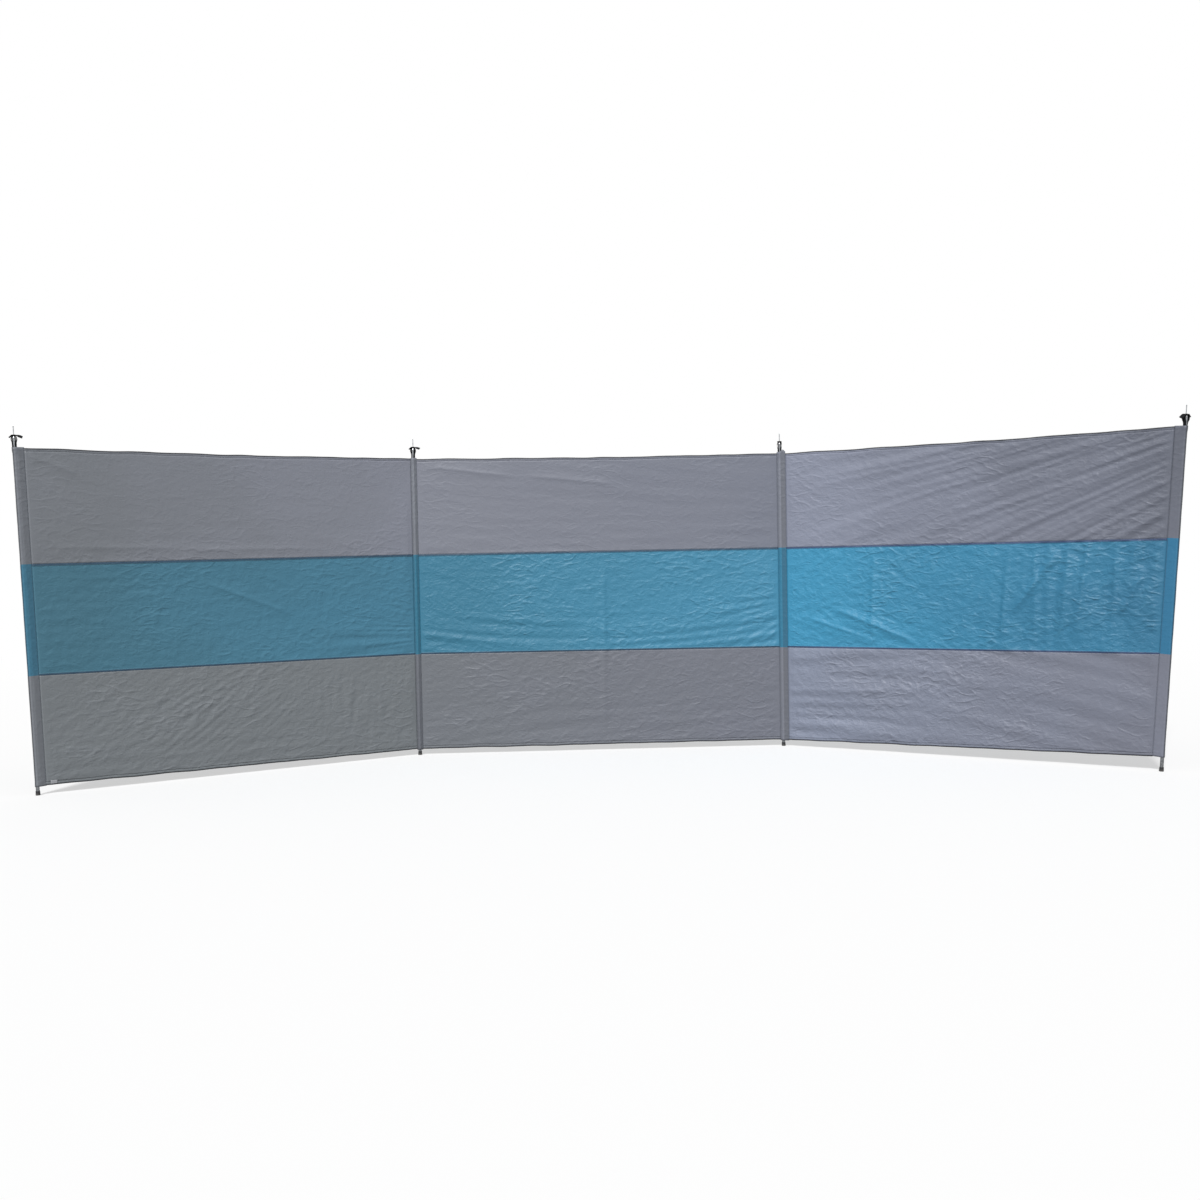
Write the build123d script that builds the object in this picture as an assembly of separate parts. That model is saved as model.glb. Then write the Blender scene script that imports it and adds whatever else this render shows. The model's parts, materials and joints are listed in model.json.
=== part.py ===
from build123d import *
import os
from math import cos, radians, sin, tan

# A beach windbreak: three bays of striped cloth on four steel poles. The two outer
# bays are hinged on the inner poles by the cloth and stand folded toward the front.
# Lengths are in millimetres and angles in degrees. X runs along the middle bay to the
# right, Y to the back and Z up. The origin is on the ground, in the middle of the
# footprint's box.

# Layout on the ground
middle_pitch = 1667
left_pitch = 1620
right_pitch = 1620
left_fold_angle = 30
right_fold_angle = 35
left_lean_angle = 1.8
right_lean_angle = 3.9

# Steel tube of a pole, and the moulded cap under it
tube_radius = 7
tube_wall = 1
tube_length = 1380
cap_floor = 4
cap_rim_radius = 8.9
cap_rim_height = 5
cap_rim_chamfer = 1
cap_top_radius = 8.1
cap_height = 17
cap_bore_clearance = 0.05

# Plug in the top of the tube, with a spike for the eye of a guy rope
plug_clearance = 0.1
plug_depth = 25
plug_collar = 1.5
plug_head = 9
plug_head_radius = 4.8
neck_radius = 2.3
neck_rise = 0.5
spike_radius = 2
spike_length = 33
tip_length = 3
tip_radius = 0.8

# Webbing loop that holds the cloth up on the spike, with its eyelet and pull tab
webbing = 1.5
webbing_width = 20
loop_clearance = 0.3
loop_leg = 12
loop_belly = 10.5
loop_belly_drop = 12
loop_shoulder = 6.4
loop_corner = 2.4
tab_thickness = 2.6
tab_bend = 7
tab_bend_radius = 4
tab_reach = 25
tab_droop_angle = 24
tab_back = 14
tab_back_droop_angle = 40
tab_overhang = 1.5
tab_flat_back = 9
tab_end_radius = 3
eyelet_clearance = 0.2
eyelet_wall = 0.8
eyelet_flange_radius = 4.6
eyelet_flange = 0.6
eyelet_hole_clearance = 0.1

# Turn of each loop and its tab about the pole, from the line of its bay
left_end_turn = -18
left_inner_turn = -12
right_inner_turn = -12
right_end_turn = 55

# Cloth, drawn thicker than the real thing
cloth = 1.2
hem_thickness = 2.4
hem_height = 12
seam_thickness = 2
seam_height = 9
top_sag = 5

# Heights of the cloth's lower edge and two seams at each pole, and how far its upper
# edge lies below the tube's top
left_end_bottom = 36
left_inner_bottom = 27
right_inner_bottom = 29
right_end_bottom = 57
left_end_lower_seam = 466
left_inner_lower_seam = 459
right_inner_lower_seam = 455
right_end_lower_seam = 463
left_end_upper_seam = 899
left_inner_upper_seam = 911
right_inner_upper_seam = 912
right_end_upper_seam = 917
left_end_drop = 34
left_inner_drop = 39
right_inner_drop = 41
right_end_drop = 32

# Sleeves: a round one on each inner pole, a flat hem tunnel on each end pole
sleeve_clearance = 0.3
sleeve_rise = 5
sleeve_drop = 3
right_end_sleeve_drop = 14
tunnel_width = 44
tunnel_tail_gap = 0.1
seam_gap = 0.2

# Worked out from the sizes above
cap_top = cap_height
tube_top = cap_floor + tube_length
head_top = tube_top + plug_head
stack_height = webbing + tab_thickness + 2 * eyelet_flange
neck_top = head_top + stack_height + neck_rise
spike_tip = neck_top + spike_length + tip_length
sleeve_inner_radius = tube_radius + sleeve_clearance
sleeve_outer_radius = sleeve_inner_radius + cloth
leg_inner = tube_radius + loop_clearance
tunnel_tail_radius = cloth + tunnel_tail_gap
tunnel_reach = tunnel_width - sleeve_outer_radius - tunnel_tail_radius
eyelet_inner_radius = neck_radius + eyelet_clearance
eyelet_barrel_radius = eyelet_inner_radius + eyelet_wall
bottom_edge = {
    "left_end": left_end_bottom,
    "left_inner": left_inner_bottom,
    "right_inner": right_inner_bottom,
    "right_end": right_end_bottom,
}
lower_seam = {
    "left_end": left_end_lower_seam,
    "left_inner": left_inner_lower_seam,
    "right_inner": right_inner_lower_seam,
    "right_end": right_end_lower_seam,
}
upper_seam = {
    "left_end": left_end_upper_seam,
    "left_inner": left_inner_upper_seam,
    "right_inner": right_inner_upper_seam,
    "right_end": right_end_upper_seam,
}
top_edge = {
    "left_end": tube_top - left_end_drop,
    "left_inner": tube_top - left_inner_drop,
    "right_inner": tube_top - right_inner_drop,
    "right_end": tube_top - right_end_drop,
}
head_turn = {
    "left_end": left_end_turn,
    "left_inner": left_inner_turn,
    "right_inner": right_inner_turn,
    "right_end": right_end_turn,
}


def turned(*points):
    """Solid of revolution about Z from the radius and height of each profile corner."""
    profile = make_face(Polyline(*points, close=True))
    return revolve(Plane.XZ * profile, Axis.Z)


def drop_outline(nose_radius, tail_radius, reach):
    """Round nose about the origin, drawn out by straight sides to a small round tail."""
    nose = CenterArc((0, 0), nose_radius, 0, 360)
    tail = CenterArc((reach, 0), tail_radius, 0, 360)
    return make_hull([nose, tail])


def steel_tube():
    ring = Circle(tube_radius) - Circle(tube_radius - tube_wall)
    return Pos(0, 0, cap_floor) * extrude(ring, tube_length)


def foot_cap():
    bore = tube_radius + cap_bore_clearance
    return turned(
        (0, 0),
        (cap_rim_radius - cap_rim_chamfer, 0),
        (cap_rim_radius, cap_rim_chamfer),
        (cap_rim_radius, cap_rim_height),
        (cap_top_radius, cap_top),
        (bore, cap_top),
        (bore, cap_floor),
        (0, cap_floor),
    )


def spike():
    spigot = tube_radius - tube_wall - plug_clearance
    return turned(
        (0, tube_top - plug_depth),
        (spigot, tube_top - plug_depth),
        (spigot, tube_top),
        (tube_radius, tube_top),
        (tube_radius, tube_top + plug_collar),
        (plug_head_radius, head_top),
        (neck_radius, head_top),
        (neck_radius, neck_top),
        (spike_radius, neck_top),
        (spike_radius, neck_top + spike_length),
        (tip_radius, spike_tip),
        (0, spike_tip),
    )


def crown_hole(thickness, height):
    """Hole for the eyelet's barrel through webbing that lies at a height."""
    radius = eyelet_barrel_radius + eyelet_hole_clearance
    return Pos(0, 0, height) * Cylinder(radius, 3 * thickness)


def bent_webbing(corners, radius, thickness):
    """Webbing along a line of corners in the XZ plane, bent to a radius at each of them."""
    line = FilletPolyline(*corners, radius=radius)
    return extrude(Plane.XZ * trace(line, thickness), webbing_width / 2, both=True)


def strap(foot_height):
    """Webbing loop from the top of the cloth, round the plug's head and down again."""
    crown = head_top + eyelet_flange + webbing / 2
    foot = leg_inner + webbing / 2
    right = [
        (loop_shoulder, crown),
        (loop_belly, crown - loop_belly_drop),
        (foot, foot_height + loop_leg),
        (foot, foot_height),
    ]
    left = [(-x, height) for x, height in reversed(right)]
    return bent_webbing(left + right, loop_corner, webbing) - crown_hole(webbing, crown)


def pull_tab(bend, back):
    """Doubled webbing over the loop's crown, from its back corners to its drooping end."""
    middle = head_top + eyelet_flange + webbing + tab_thickness / 2
    droop = radians(tab_droop_angle)
    end = (bend + tab_reach * cos(droop), -tab_reach * sin(droop))
    strip = bent_webbing(back + [(bend, 0), end], tab_bend_radius, tab_thickness)
    start = back[0][0]
    plan = Pos((start + end[0]) / 2, 0) * RectangleRounded(end[0] - start, webbing_width, tab_end_radius)
    strip &= extrude(plan, tab_reach, both=True)
    return Pos(0, 0, middle) * strip - crown_hole(tab_thickness, middle)


def tented_tab():
    """Pull tab along the loop, with both its ends drooping."""
    droop = radians(tab_back_droop_angle)
    back_end = (-tab_bend - tab_back * cos(droop), -tab_back * sin(droop))
    return pull_tab(tab_bend, [back_end, (-tab_bend, 0)])


def cross_tab():
    """Pull tab across the loop, with a short flat back."""
    return Rot(0, 0, -90) * pull_tab(webbing_width / 2 + tab_overhang, [(-tab_flat_back, 0)])


def eyelet():
    low = head_top
    high = head_top + stack_height
    return turned(
        (eyelet_inner_radius, low),
        (eyelet_flange_radius, low),
        (eyelet_flange_radius, low + eyelet_flange),
        (eyelet_barrel_radius, low + eyelet_flange),
        (eyelet_barrel_radius, high - eyelet_flange),
        (eyelet_flange_radius, high - eyelet_flange),
        (eyelet_flange_radius, high),
        (eyelet_inner_radius, high),
    )


def round_sleeve(low, high):
    ring = Circle(sleeve_outer_radius) - Circle(sleeve_inner_radius)
    return Pos(0, 0, low) * extrude(ring, high - low)


def hem_tunnel(low, high):
    """Cloth folded round an end pole and sewn to itself along its tail."""
    outer = drop_outline(sleeve_outer_radius, tunnel_tail_radius, tunnel_reach)
    inner = drop_outline(sleeve_inner_radius, tunnel_tail_gap, tunnel_reach)
    return Pos(0, 0, low) * extrude(outer - inner, high - low)


class Bay:
    """Cloth between two poles, drawn in its own upright plane from the near pole's foot."""

    def __init__(self, foot, turn, pitch, near, far, lean=None):
        along = Vector(cos(radians(turn)), sin(radians(turn)), 0)
        self.plane = Plane(foot, x_dir=along, z_dir=along.cross(Vector(0, 0, 1)))
        self.pitch = pitch
        self.near = near
        self.far = far
        self.lean = lean

    def end(self, height):
        """Distance of the cloth's far end from the near pole, at a height."""
        if self.lean is None:
            return self.pitch - sleeve_outer_radius - sleeve_clearance
        tail = tunnel_reach + tunnel_tail_radius + seam_gap
        return self.pitch + height * tan(radians(self.lean)) - tail / cos(radians(self.lean))

    def level(self, edge, rise=0, sag=0):
        """Line across the bay, a rise above an edge, hanging by sag in the middle."""
        near_height = edge[self.near] + rise
        far_height = edge[self.far] + rise
        start = Vector(sleeve_outer_radius + sleeve_clearance, near_height)
        stop = Vector(self.end(far_height), far_height)
        if sag == 0:
            return Line(start, stop)
        return ThreePointArc(start, (start + stop) / 2 - Vector(0, sag), stop)

    def strip(self, lower, upper, thickness):
        """Cloth between two of the bay's lines."""
        sides = [Line(lower @ 0, upper @ 0), Line(lower @ 1, upper @ 1)]
        face = make_face([lower, upper] + sides)
        return extrude(self.plane * face, thickness / 2, both=True)

    def seamed_strip(self, low, high):
        """Cloth between two edges, with a doubled seam along both of them."""
        lower, upper = self.level(low), self.level(high)
        low_seam = self.strip(lower, self.level(low, seam_height), seam_thickness)
        high_seam = self.strip(self.level(high, -seam_height), upper, seam_thickness)
        return self.strip(lower, upper, cloth) + low_seam + high_seam

    def pieces(self):
        """Three stripes and two hems, from the ground up."""
        bottom = self.level(bottom_edge)
        bottom_stitch = self.level(bottom_edge, hem_height)
        top_stitch = self.level(top_edge, -hem_height, top_sag)
        top = self.level(top_edge, 0, top_sag)
        return {
            "bottom_hem": self.strip(bottom, bottom_stitch, hem_thickness),
            "bottom_stripe": self.strip(bottom_stitch, self.level(lower_seam), cloth),
            "middle_stripe": self.seamed_strip(lower_seam, upper_seam),
            "top_stripe": self.strip(self.level(upper_seam), top_stitch, cloth),
            "top_hem": self.strip(top_stitch, top, hem_thickness),
        }


def pole_frame(foot, out_turn, lean):
    """Frame of a pole that leans toward out_turn: Z up the pole and X away from the lean."""
    out = Vector(cos(radians(out_turn)), sin(radians(out_turn)), 0)
    up = out * sin(radians(lean)) + Vector(0, 0, 1) * cos(radians(lean))
    inward = Vector(0, 0, 1) * sin(radians(lean)) - out * cos(radians(lean))
    rise = (cap_rim_radius - cap_rim_chamfer) * sin(radians(lean))
    return Plane(foot + Vector(0, 0, rise), x_dir=inward, z_dir=up)


def pole_pieces(place, sleeve, tab):
    """One pole with its cap, spike, loop and sleeve, in the pole's own frame."""
    drop = right_end_sleeve_drop if place == "right_end" else sleeve_drop
    turn = Rot(0, 0, head_turn[place])
    return {
        "pole": steel_tube(),
        "foot_cap": foot_cap(),
        "spike": spike(),
        "strap": turn * strap(top_edge[place] + sleeve_rise),
        "pull_tab": turn * tab(),
        "eyelet": eyelet(),
        "sleeve": sleeve(bottom_edge[place] - drop, top_edge[place] + sleeve_rise),
    }


# Feet of the poles, from the middle of the middle bay
half = middle_pitch / 2
left_turn = 180 + left_fold_angle
right_turn = -right_fold_angle
left_inner_foot = Vector(-half, 0, 0)
right_inner_foot = Vector(half, 0, 0)
left_arm = Vector(cos(radians(left_turn)), sin(radians(left_turn)), 0)
right_arm = Vector(cos(radians(right_turn)), sin(radians(right_turn)), 0)
left_end_foot = left_inner_foot + left_arm * left_pitch
right_end_foot = right_inner_foot + right_arm * right_pitch

frames = {
    "left_end": pole_frame(left_end_foot, left_turn, left_lean_angle),
    "left_inner": pole_frame(left_inner_foot, 180, 0),
    "right_inner": pole_frame(right_inner_foot, 0, 0),
    "right_end": pole_frame(right_end_foot, right_turn, right_lean_angle),
}
bays = {
    "left": Bay(left_inner_foot, left_turn, left_pitch, "left_inner", "left_end", left_lean_angle),
    "middle": Bay(left_inner_foot, 0, middle_pitch, "left_inner", "right_inner"),
    "right": Bay(right_inner_foot, right_turn, right_pitch, "right_inner", "right_end", right_lean_angle),
}

nodes = {}
for place, frame in frames.items():
    sleeve = hem_tunnel if place.endswith("end") else round_sleeve
    tab = cross_tab if place == "right_inner" else tented_tab
    for name, piece in pole_pieces(place, sleeve, tab).items():
        nodes[f"{place}_{name}"] = frame * piece
for name, bay in bays.items():
    for strip_name, piece in bay.pieces().items():
        nodes[f"{name}_{strip_name}"] = piece

# Move the whole to its origin and write each piece
box = Compound(children=[Part(piece.wrapped) for piece in nodes.values()]).bounding_box()
shift = Vector(-(box.min.X + box.max.X) / 2, -(box.min.Y + box.max.Y) / 2, 0)
os.makedirs("parts", exist_ok=True)
for name, piece in nodes.items():
    export_step(Pos(shift) * piece, f"parts/{name}.step")

print("box", box.size, "lowest", round(box.min.Z, 3))
for place, frame in frames.items():
    print(place, "foot", frame.origin + shift, "up", frame.z_dir)
print("neck top", neck_top, "spike tip", spike_tip)
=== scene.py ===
# %% [markdown]
# # A striped beach windbreak, dressed around its frame
#
# The frame holds the poles, caps and loops at their real size. This lesson gives them
# their finish and puts real-looking cloth between them: thin coated polyester with
# packing folds, tension waves, puckered seams and sewn sleeves. Lengths are in metres.

# %% Load the frame
import json
import bpy
import numpy as np
from mathutils import Matrix


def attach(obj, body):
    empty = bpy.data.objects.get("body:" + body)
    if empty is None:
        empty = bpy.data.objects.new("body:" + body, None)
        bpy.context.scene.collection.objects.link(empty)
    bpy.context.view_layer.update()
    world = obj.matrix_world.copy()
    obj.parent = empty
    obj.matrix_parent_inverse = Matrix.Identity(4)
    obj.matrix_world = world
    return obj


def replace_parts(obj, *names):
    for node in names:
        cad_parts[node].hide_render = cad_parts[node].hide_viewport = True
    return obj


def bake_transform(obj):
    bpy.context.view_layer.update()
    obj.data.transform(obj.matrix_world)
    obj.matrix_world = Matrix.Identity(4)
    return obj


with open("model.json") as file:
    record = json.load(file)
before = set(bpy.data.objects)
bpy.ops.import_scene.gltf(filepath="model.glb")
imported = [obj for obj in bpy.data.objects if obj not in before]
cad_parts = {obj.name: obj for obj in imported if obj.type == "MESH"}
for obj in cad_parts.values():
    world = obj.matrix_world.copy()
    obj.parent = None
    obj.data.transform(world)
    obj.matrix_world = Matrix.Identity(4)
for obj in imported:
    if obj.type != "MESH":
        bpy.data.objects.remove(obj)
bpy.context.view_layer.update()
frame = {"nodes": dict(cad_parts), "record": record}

# %% [markdown]
# ## Where the poles stand
#
# Each pole carries a spike, and the record gives the middle of every spike and the way it
# points. A pole's foot is a fixed length below that point, so both ends of every pole
# follow from the frame, and the cloth can hang between them without being placed by eye.

# %% Pole axes
PLACES = ("left_end", "left_inner", "right_inner", "right_end")
MIDDLE_OF_SPIKE = 1.4153  # along the pole, from its foot
BAY_POLES = {
    "left": ("left_end", "left_inner"),
    "middle": ("left_inner", "right_inner"),
    "right": ("right_inner", "right_end"),
}
BAY_BODY = {"left": "left_bay", "middle": "middle_bay", "right": "right_bay"}
POLE_BODY = {
    "left_end": "left_bay",
    "left_inner": "middle_bay",
    "right_inner": "middle_bay",
    "right_end": "right_bay",
}
mounts = {m["name"]: m for m in frame["record"]["mounts"]}
up = {place: np.array(mounts[place + "_spike"]["axis"], float) for place in PLACES}
foot = {
    place: np.array(mounts[place + "_spike"]["pos_m"], float) - up[place] * MIDDLE_OF_SPIKE
    for place in PLACES
}


def unit(vectors):
    """The same directions with length 1. The last axis holds their coordinates."""
    return vectors / np.linalg.norm(vectors, axis=-1, keepdims=True)


def along_pole(place, height):
    """Points on a pole's axis, height metres from its foot. Height may be an array."""
    return foot[place] + np.asarray(height)[..., None] * up[place]


for place in PLACES:
    print(place, "stands at", np.round(foot[place], 3))

# %% [markdown]
# ## Lines across the cloth
#
# The windbreak is sewn from three long strips: grey, blue and grey. Two hems and two
# seams run across every bay. Each line is known by its height on the two poles it runs
# between, so stripes, seams and hems share their edges exactly.

# %% Heights of the hems and seams on each pole
BOTTOM = {"left_end": 0.036, "left_inner": 0.027, "right_inner": 0.029, "right_end": 0.057}
LOWER_SEAM = {"left_end": 0.466, "left_inner": 0.459, "right_inner": 0.455, "right_end": 0.463}
UPPER_SEAM = {"left_end": 0.899, "left_inner": 0.911, "right_inner": 0.912, "right_end": 0.917}
TOP = {"left_end": 1.350, "left_inner": 1.345, "right_inner": 1.343, "right_end": 1.352}
TOP_SAG = 0.005  # how far the top edge hangs below a straight line
HEM_HEIGHT = 0.012
SEAM_HEIGHT = 0.009
CLOTH_THICKNESS = 0.0005
FOLD_THICKNESS = 0.0018  # of hems and seams, where the cloth is folded
STITCH_INSET = {  # from the pole's axis to the stitches of its sleeve, on its left and right
    "left_end": (None, 0.0340),
    "left_inner": (0.0125, 0.0145),
    "right_inner": (0.0125, 0.0285),
    "right_end": (0.0380, None),
}


def shifted(line, rise):
    """The same line across the cloth, moved up by rise on every pole."""
    return {place: height + rise for place, height in line.items()}


bay_width = {
    bay: float(np.linalg.norm(foot[right] - foot[left]))
    for bay, (left, right) in BAY_POLES.items()
}
bay_front = {
    bay: unit(np.cross(foot[right] - foot[left], [0, 0, 1]))
    for bay, (left, right) in BAY_POLES.items()
}
print("bay widths", {bay: round(w, 3) for bay, w in bay_width.items()})

# %% [markdown]
# ## Noise to crease cloth with
#
# Cloth creases at random, but not evenly: a wrinkle is long one way and narrow the
# other. Gradient noise gives smooth random waves. Stretching its coordinates turns them
# into long ripples, and folding it at zero turns ripples into sharp crumples. A simulation
# could make them too, but it can't be told where this cloth was folded in its bag.

# %% Noise
LATTICE = 256
RIDGE_LEVEL = 0.25  # how high a folded wave stands where it crosses zero
CREASE_OVERRUN = 0.02  # how far a fold line fades out beyond its ends


def noise(x, y, seed):
    """Random slopes at the corners of a unit grid, blended by the ease 6t^5-15t^4+10t^3.

    The result is smooth, is zero on average and stays within about 0.7 of zero."""
    angle = np.random.default_rng(seed).uniform(0, 2 * np.pi, (LATTICE, LATTICE))
    column, row = np.floor(x).astype(int), np.floor(y).astype(int)
    fx, fy = x - column, y - row
    ease_x = fx**3 * (fx * (6 * fx - 15) + 10)
    ease_y = fy**3 * (fy * (6 * fy - 15) + 10)

    def slope(i, j):
        turn = angle[(column + i) % LATTICE, (row + j) % LATTICE]
        return np.cos(turn) * (fx - i) + np.sin(turn) * (fy - j)

    near = slope(0, 0) + (slope(1, 0) - slope(0, 0)) * ease_x
    far = slope(0, 1) + (slope(1, 1) - slope(0, 1)) * ease_x
    return near + (far - near) * ease_y


def ripples(x, z, turn, length, width, seed):
    """Noise drawn out along a direction turned by turn degrees from level.

    A ripple is about length long that way and width across."""
    c, s = np.cos(np.radians(turn)), np.sin(np.radians(turn))
    return noise((x * c + z * s) / length, (z * c - x * s) / width, seed)


def folded(wave):
    """A wave folded at zero: each place where it crosses zero is a sharp ridge."""
    return RIDGE_LEVEL - np.abs(wave)


def crumples(x, z, turn, length, width, seed):
    """Ripples folded at zero."""
    return folded(ripples(x, z, turn, length, width, seed))


def ramp(value, start, stop):
    """0 before start and 1 after stop, with the ease 3t^2-2t^3 between them."""
    t = np.clip((value - start) / (stop - start), 0, 1)
    return t * t * (3 - 2 * t)


def patch(x, z, centre, reach):
    """A soft round or oval area: exp(-d^2), where d is 1 at the reach from the centre."""
    return np.exp(-(((x - centre[0]) / reach[0]) ** 2) - ((z - centre[1]) / reach[1]) ** 2)


def crease(x, z, start, stop, width, height):
    """One sharp fold line from start to stop: its height falls off as exp(-distance/width).

    It rises over the first quarter of its length and fades over the last one."""
    a, b = np.array(start), np.array(stop)
    length = np.linalg.norm(b - a)
    way = (b - a) / length
    run = (x - a[0]) * way[0] + (z - a[1]) * way[1]
    off = (z - a[1]) * way[0] - (x - a[0]) * way[1]
    rising = ramp(run, -CREASE_OVERRUN, 0.25 * length)
    fading = 1 - ramp(run, 0.75 * length, length + CREASE_OVERRUN)
    return height * np.exp(-np.abs(off) / width) * rising * fading


def rays(x, z, hub, step, length, seed):
    """Waves that run toward a hub: noise of the angle about it and of the distance from it.

    Step is the angle in degrees between one wave and the next."""
    angle = np.degrees(np.arctan2(z - hub[1], x - hub[0])) % 360
    distance = np.hypot(x - hub[0], z - hub[1])
    return noise(angle / step, distance / length, seed)


sample = np.meshgrid(np.linspace(0, 9, 99), np.linspace(0, 9, 99))
print("noise spans", np.round(np.ptp(noise(*sample, 1)), 2))

# %% [markdown]
# ## The creases of each bay
#
# Every bay gets a height field: how far the cloth stands out of its flat plane at x metres
# from its left pole and z metres above the ground. The left bay's top is smooth with a few
# level creases over the seam. Its blue stripe is finely rippled, and its bottom stripe has
# short diagonal streaks. Crumples and single folds are rows of a table, because they all
# follow one formula. What fades out over part of a stripe is written as a line of its own.

# %% Left bay
LOW_LINE, HIGH_LINE, TOP_LINE = 0.460, 0.910, 1.347
SEAM_EASE = 0.03
LEFT_CRUMPLES = (  # stripe, height, turn from level, length, width, seed
    ("top", 0.0006, -12, 0.22, 0.06, 13),
    ("blue", 0.0010, -22, 0.15, 0.045, 15),
    ("blue", 0.0009, 80, 0.12, 0.045, 16),
    ("blue", 0.0008, 32, 0.09, 0.030, 22),
    ("low", 0.0012, 25, 0.10, 0.030, 19),
)
LEFT_FOLDS = (  # stripe, start, stop, width, height
    ("top", (0.03, 1.33), (0.22, 1.25), 0.012, 0.0016),
    ("top", (0.05, 0.965), (0.62, 0.955), 0.010, 0.0010),
    ("top", (0.55, 0.950), (1.25, 0.945), 0.008, 0.0010),
    ("blue", (0.66, 0.82), (1.06, 0.66), 0.009, 0.0024),
)


def stripe_masks(z):
    """How much a point belongs to the bottom, blue and top stripe, 0 or 1 with soft borders."""
    over_low = ramp(z, LOW_LINE - SEAM_EASE / 2, LOW_LINE + SEAM_EASE / 2)
    over_high = ramp(z, HIGH_LINE - SEAM_EASE / 2, HIGH_LINE + SEAM_EASE / 2)
    return 1 - over_low, over_low * (1 - over_high), over_high


def plain_creases(x, z, crumple_rows, fold_rows):
    """The sum of a table's crumples and single folds, each kept to its own stripe."""
    masks = dict(zip(("low", "blue", "top"), stripe_masks(z)))
    lift = sum(masks[stripe] * crease(x, z, *line) for stripe, *line in fold_rows)
    for stripe, height, *shape in crumple_rows:
        lift = lift + masks[stripe] * height * crumples(x, z, *shape)
    return lift


def left_creases(x, z):
    """Height of the left bay's creases: a sum of patterns, each times its height and area."""
    low, blue, top = stripe_masks(z)
    lift = plain_creases(x, z, LEFT_CRUMPLES, LEFT_FOLDS)
    lift += 0.0028 * ripples(x, z, 4, 1.1, 0.35, 11)
    dip = z + 0.02 * x * (1.65 - x)
    lift += top * 0.0008 * ripples(x, dip, 0, 0.50, 0.045, 12) * ramp(z, 1.15, 0.92)
    lift += blue * 0.0007 * ripples(x, z, 3, 0.16, 0.030, 14) * ramp(x, 1.5, 0.2)
    toward_pole = rays(x, z, (1.95, 0.55), 2.2, 0.45, 17)
    lift += blue * 0.0034 * toward_pole * ramp(x, 1.00, 1.5) * ramp(z, 0.75, 0.5)
    streaks = patch(x, z, (0.65, 0.27), (0.40, 0.16))
    lift += low * 0.0020 * streaks * ripples(x, z, 38, 0.13, 0.016, 18)
    upright = patch(x, z, (1.30, 0.26), (0.16, 0.14))
    lift += low * 0.0018 * upright * ripples(x, z, 82, 0.13, 0.022, 20)
    lift += low * 0.0011 * ripples(x, z, 3, 0.30, 0.032, 21) * ramp(z, 0.28, 0.10)
    return lift


def left_crush(x, z):
    """How finely the left bay is crumpled: 0 is smooth, 1 well crushed and 1.5 like foil."""
    low, blue, top = stripe_masks(z)
    return 0.8 * low + 0.75 * blue + (0.45 + 0.2 * ramp(z, 1.02, 0.92)) * top


x_test, z_test = np.meshgrid(np.linspace(0.03, 1.6, 160), np.linspace(0.05, 1.33, 130))
print("left bay creases, mm:", np.round(1000 * np.ptp(left_creases(x_test, z_test)), 1))

# %% [markdown]
# The middle bay hangs flattest. One upright packing fold crosses its two lower stripes,
# and the lower third of the blue stripe has long arcs that dip in the middle, because the
# seam under it is pulled tighter than the cloth.

# %% Middle bay
MIDDLE_FOLD = 0.845  # the upright packing fold, from the bay's left pole
MIDDLE_CRUMPLES = (  # stripe, height, turn from level, length, width, seed
    ("blue", 0.0008, 20, 0.12, 0.040, 34),
    ("blue", 0.0011, -35, 0.10, 0.035, 35),
    ("blue", 0.0008, 70, 0.09, 0.034, 42),
    ("low", 0.0008, 24, 0.14, 0.040, 39),
)
MIDDLE_FOLDS = (  # stripe, start, stop, width, height
    ("top", (0.05, 1.31), (0.46, 1.262), 0.010, 0.0014),
    ("top", (0.50, 1.265), (0.95, 1.215), 0.012, 0.0014),
)


def middle_creases(x, z):
    """Height of the middle bay's creases: a sum of patterns, each times its height and area."""
    low, blue, top = stripe_masks(z)
    lift = plain_creases(x, z, MIDDLE_CRUMPLES, MIDDLE_FOLDS)
    lift += 0.0012 * ripples(x, z, -3, 1.0, 0.35, 31)
    lift += top * 0.0005 * ripples(x, z, -5, 0.30, 0.040, 32)
    lift += top * 0.0006 * ripples(x, z, 2, 0.55, 0.040, 33) * ramp(z, 1.15, 0.93)
    dip = z + 0.10 * x * (1.667 - x)
    lift += blue * 0.0028 * ripples(x, dip, 0, 0.80, 0.030, 36) * ramp(z, 0.68, 0.54)
    fan = rays(x, z, (1.90, 0.72), 3.0, 0.5, 37)
    lift += blue * 0.0026 * fan * ramp(x, 1.20, 1.58) * ramp(z, 0.74, 0.64)
    beside_fold = patch(x, z, (MIDDLE_FOLD, 0.60), (0.14, 0.42))
    lift += (blue + low) * 0.0012 * beside_fold * crumples(x, z, 60, 0.05, 0.024, 38)
    lift += (blue + low) * crease(x, z, (MIDDLE_FOLD, 0.10), (MIDDLE_FOLD + 0.006, 0.90), 0.009, 0.0028)
    under_seam = patch(x, z, (0.90, 0.40), (0.22, 0.07))
    lift += low * 0.0014 * under_seam * crumples(x, z, 40, 0.06, 0.03, 41)
    lift += low * 0.0009 * ripples(x, z, 5, 0.45, 0.034, 40) * ramp(z, 0.34, 0.12)
    return lift


def middle_crush(x, z):
    """How finely the middle bay is crumpled: one value for each stripe."""
    low, blue, top = stripe_masks(z)
    return 0.75 * low + 1.1 * blue + 0.4 * top


print("middle bay creases, mm:", np.round(1000 * np.ptp(middle_creases(x_test, z_test)), 1))

# %% [markdown]
# The right bay is pulled hardest, from its top outer corner. Long soft waves run from
# there down to the left, steeper the lower they start. The blue stripe is the most
# crumpled, with upright folds near the end pole and slanting ones by the inner pole.

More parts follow.
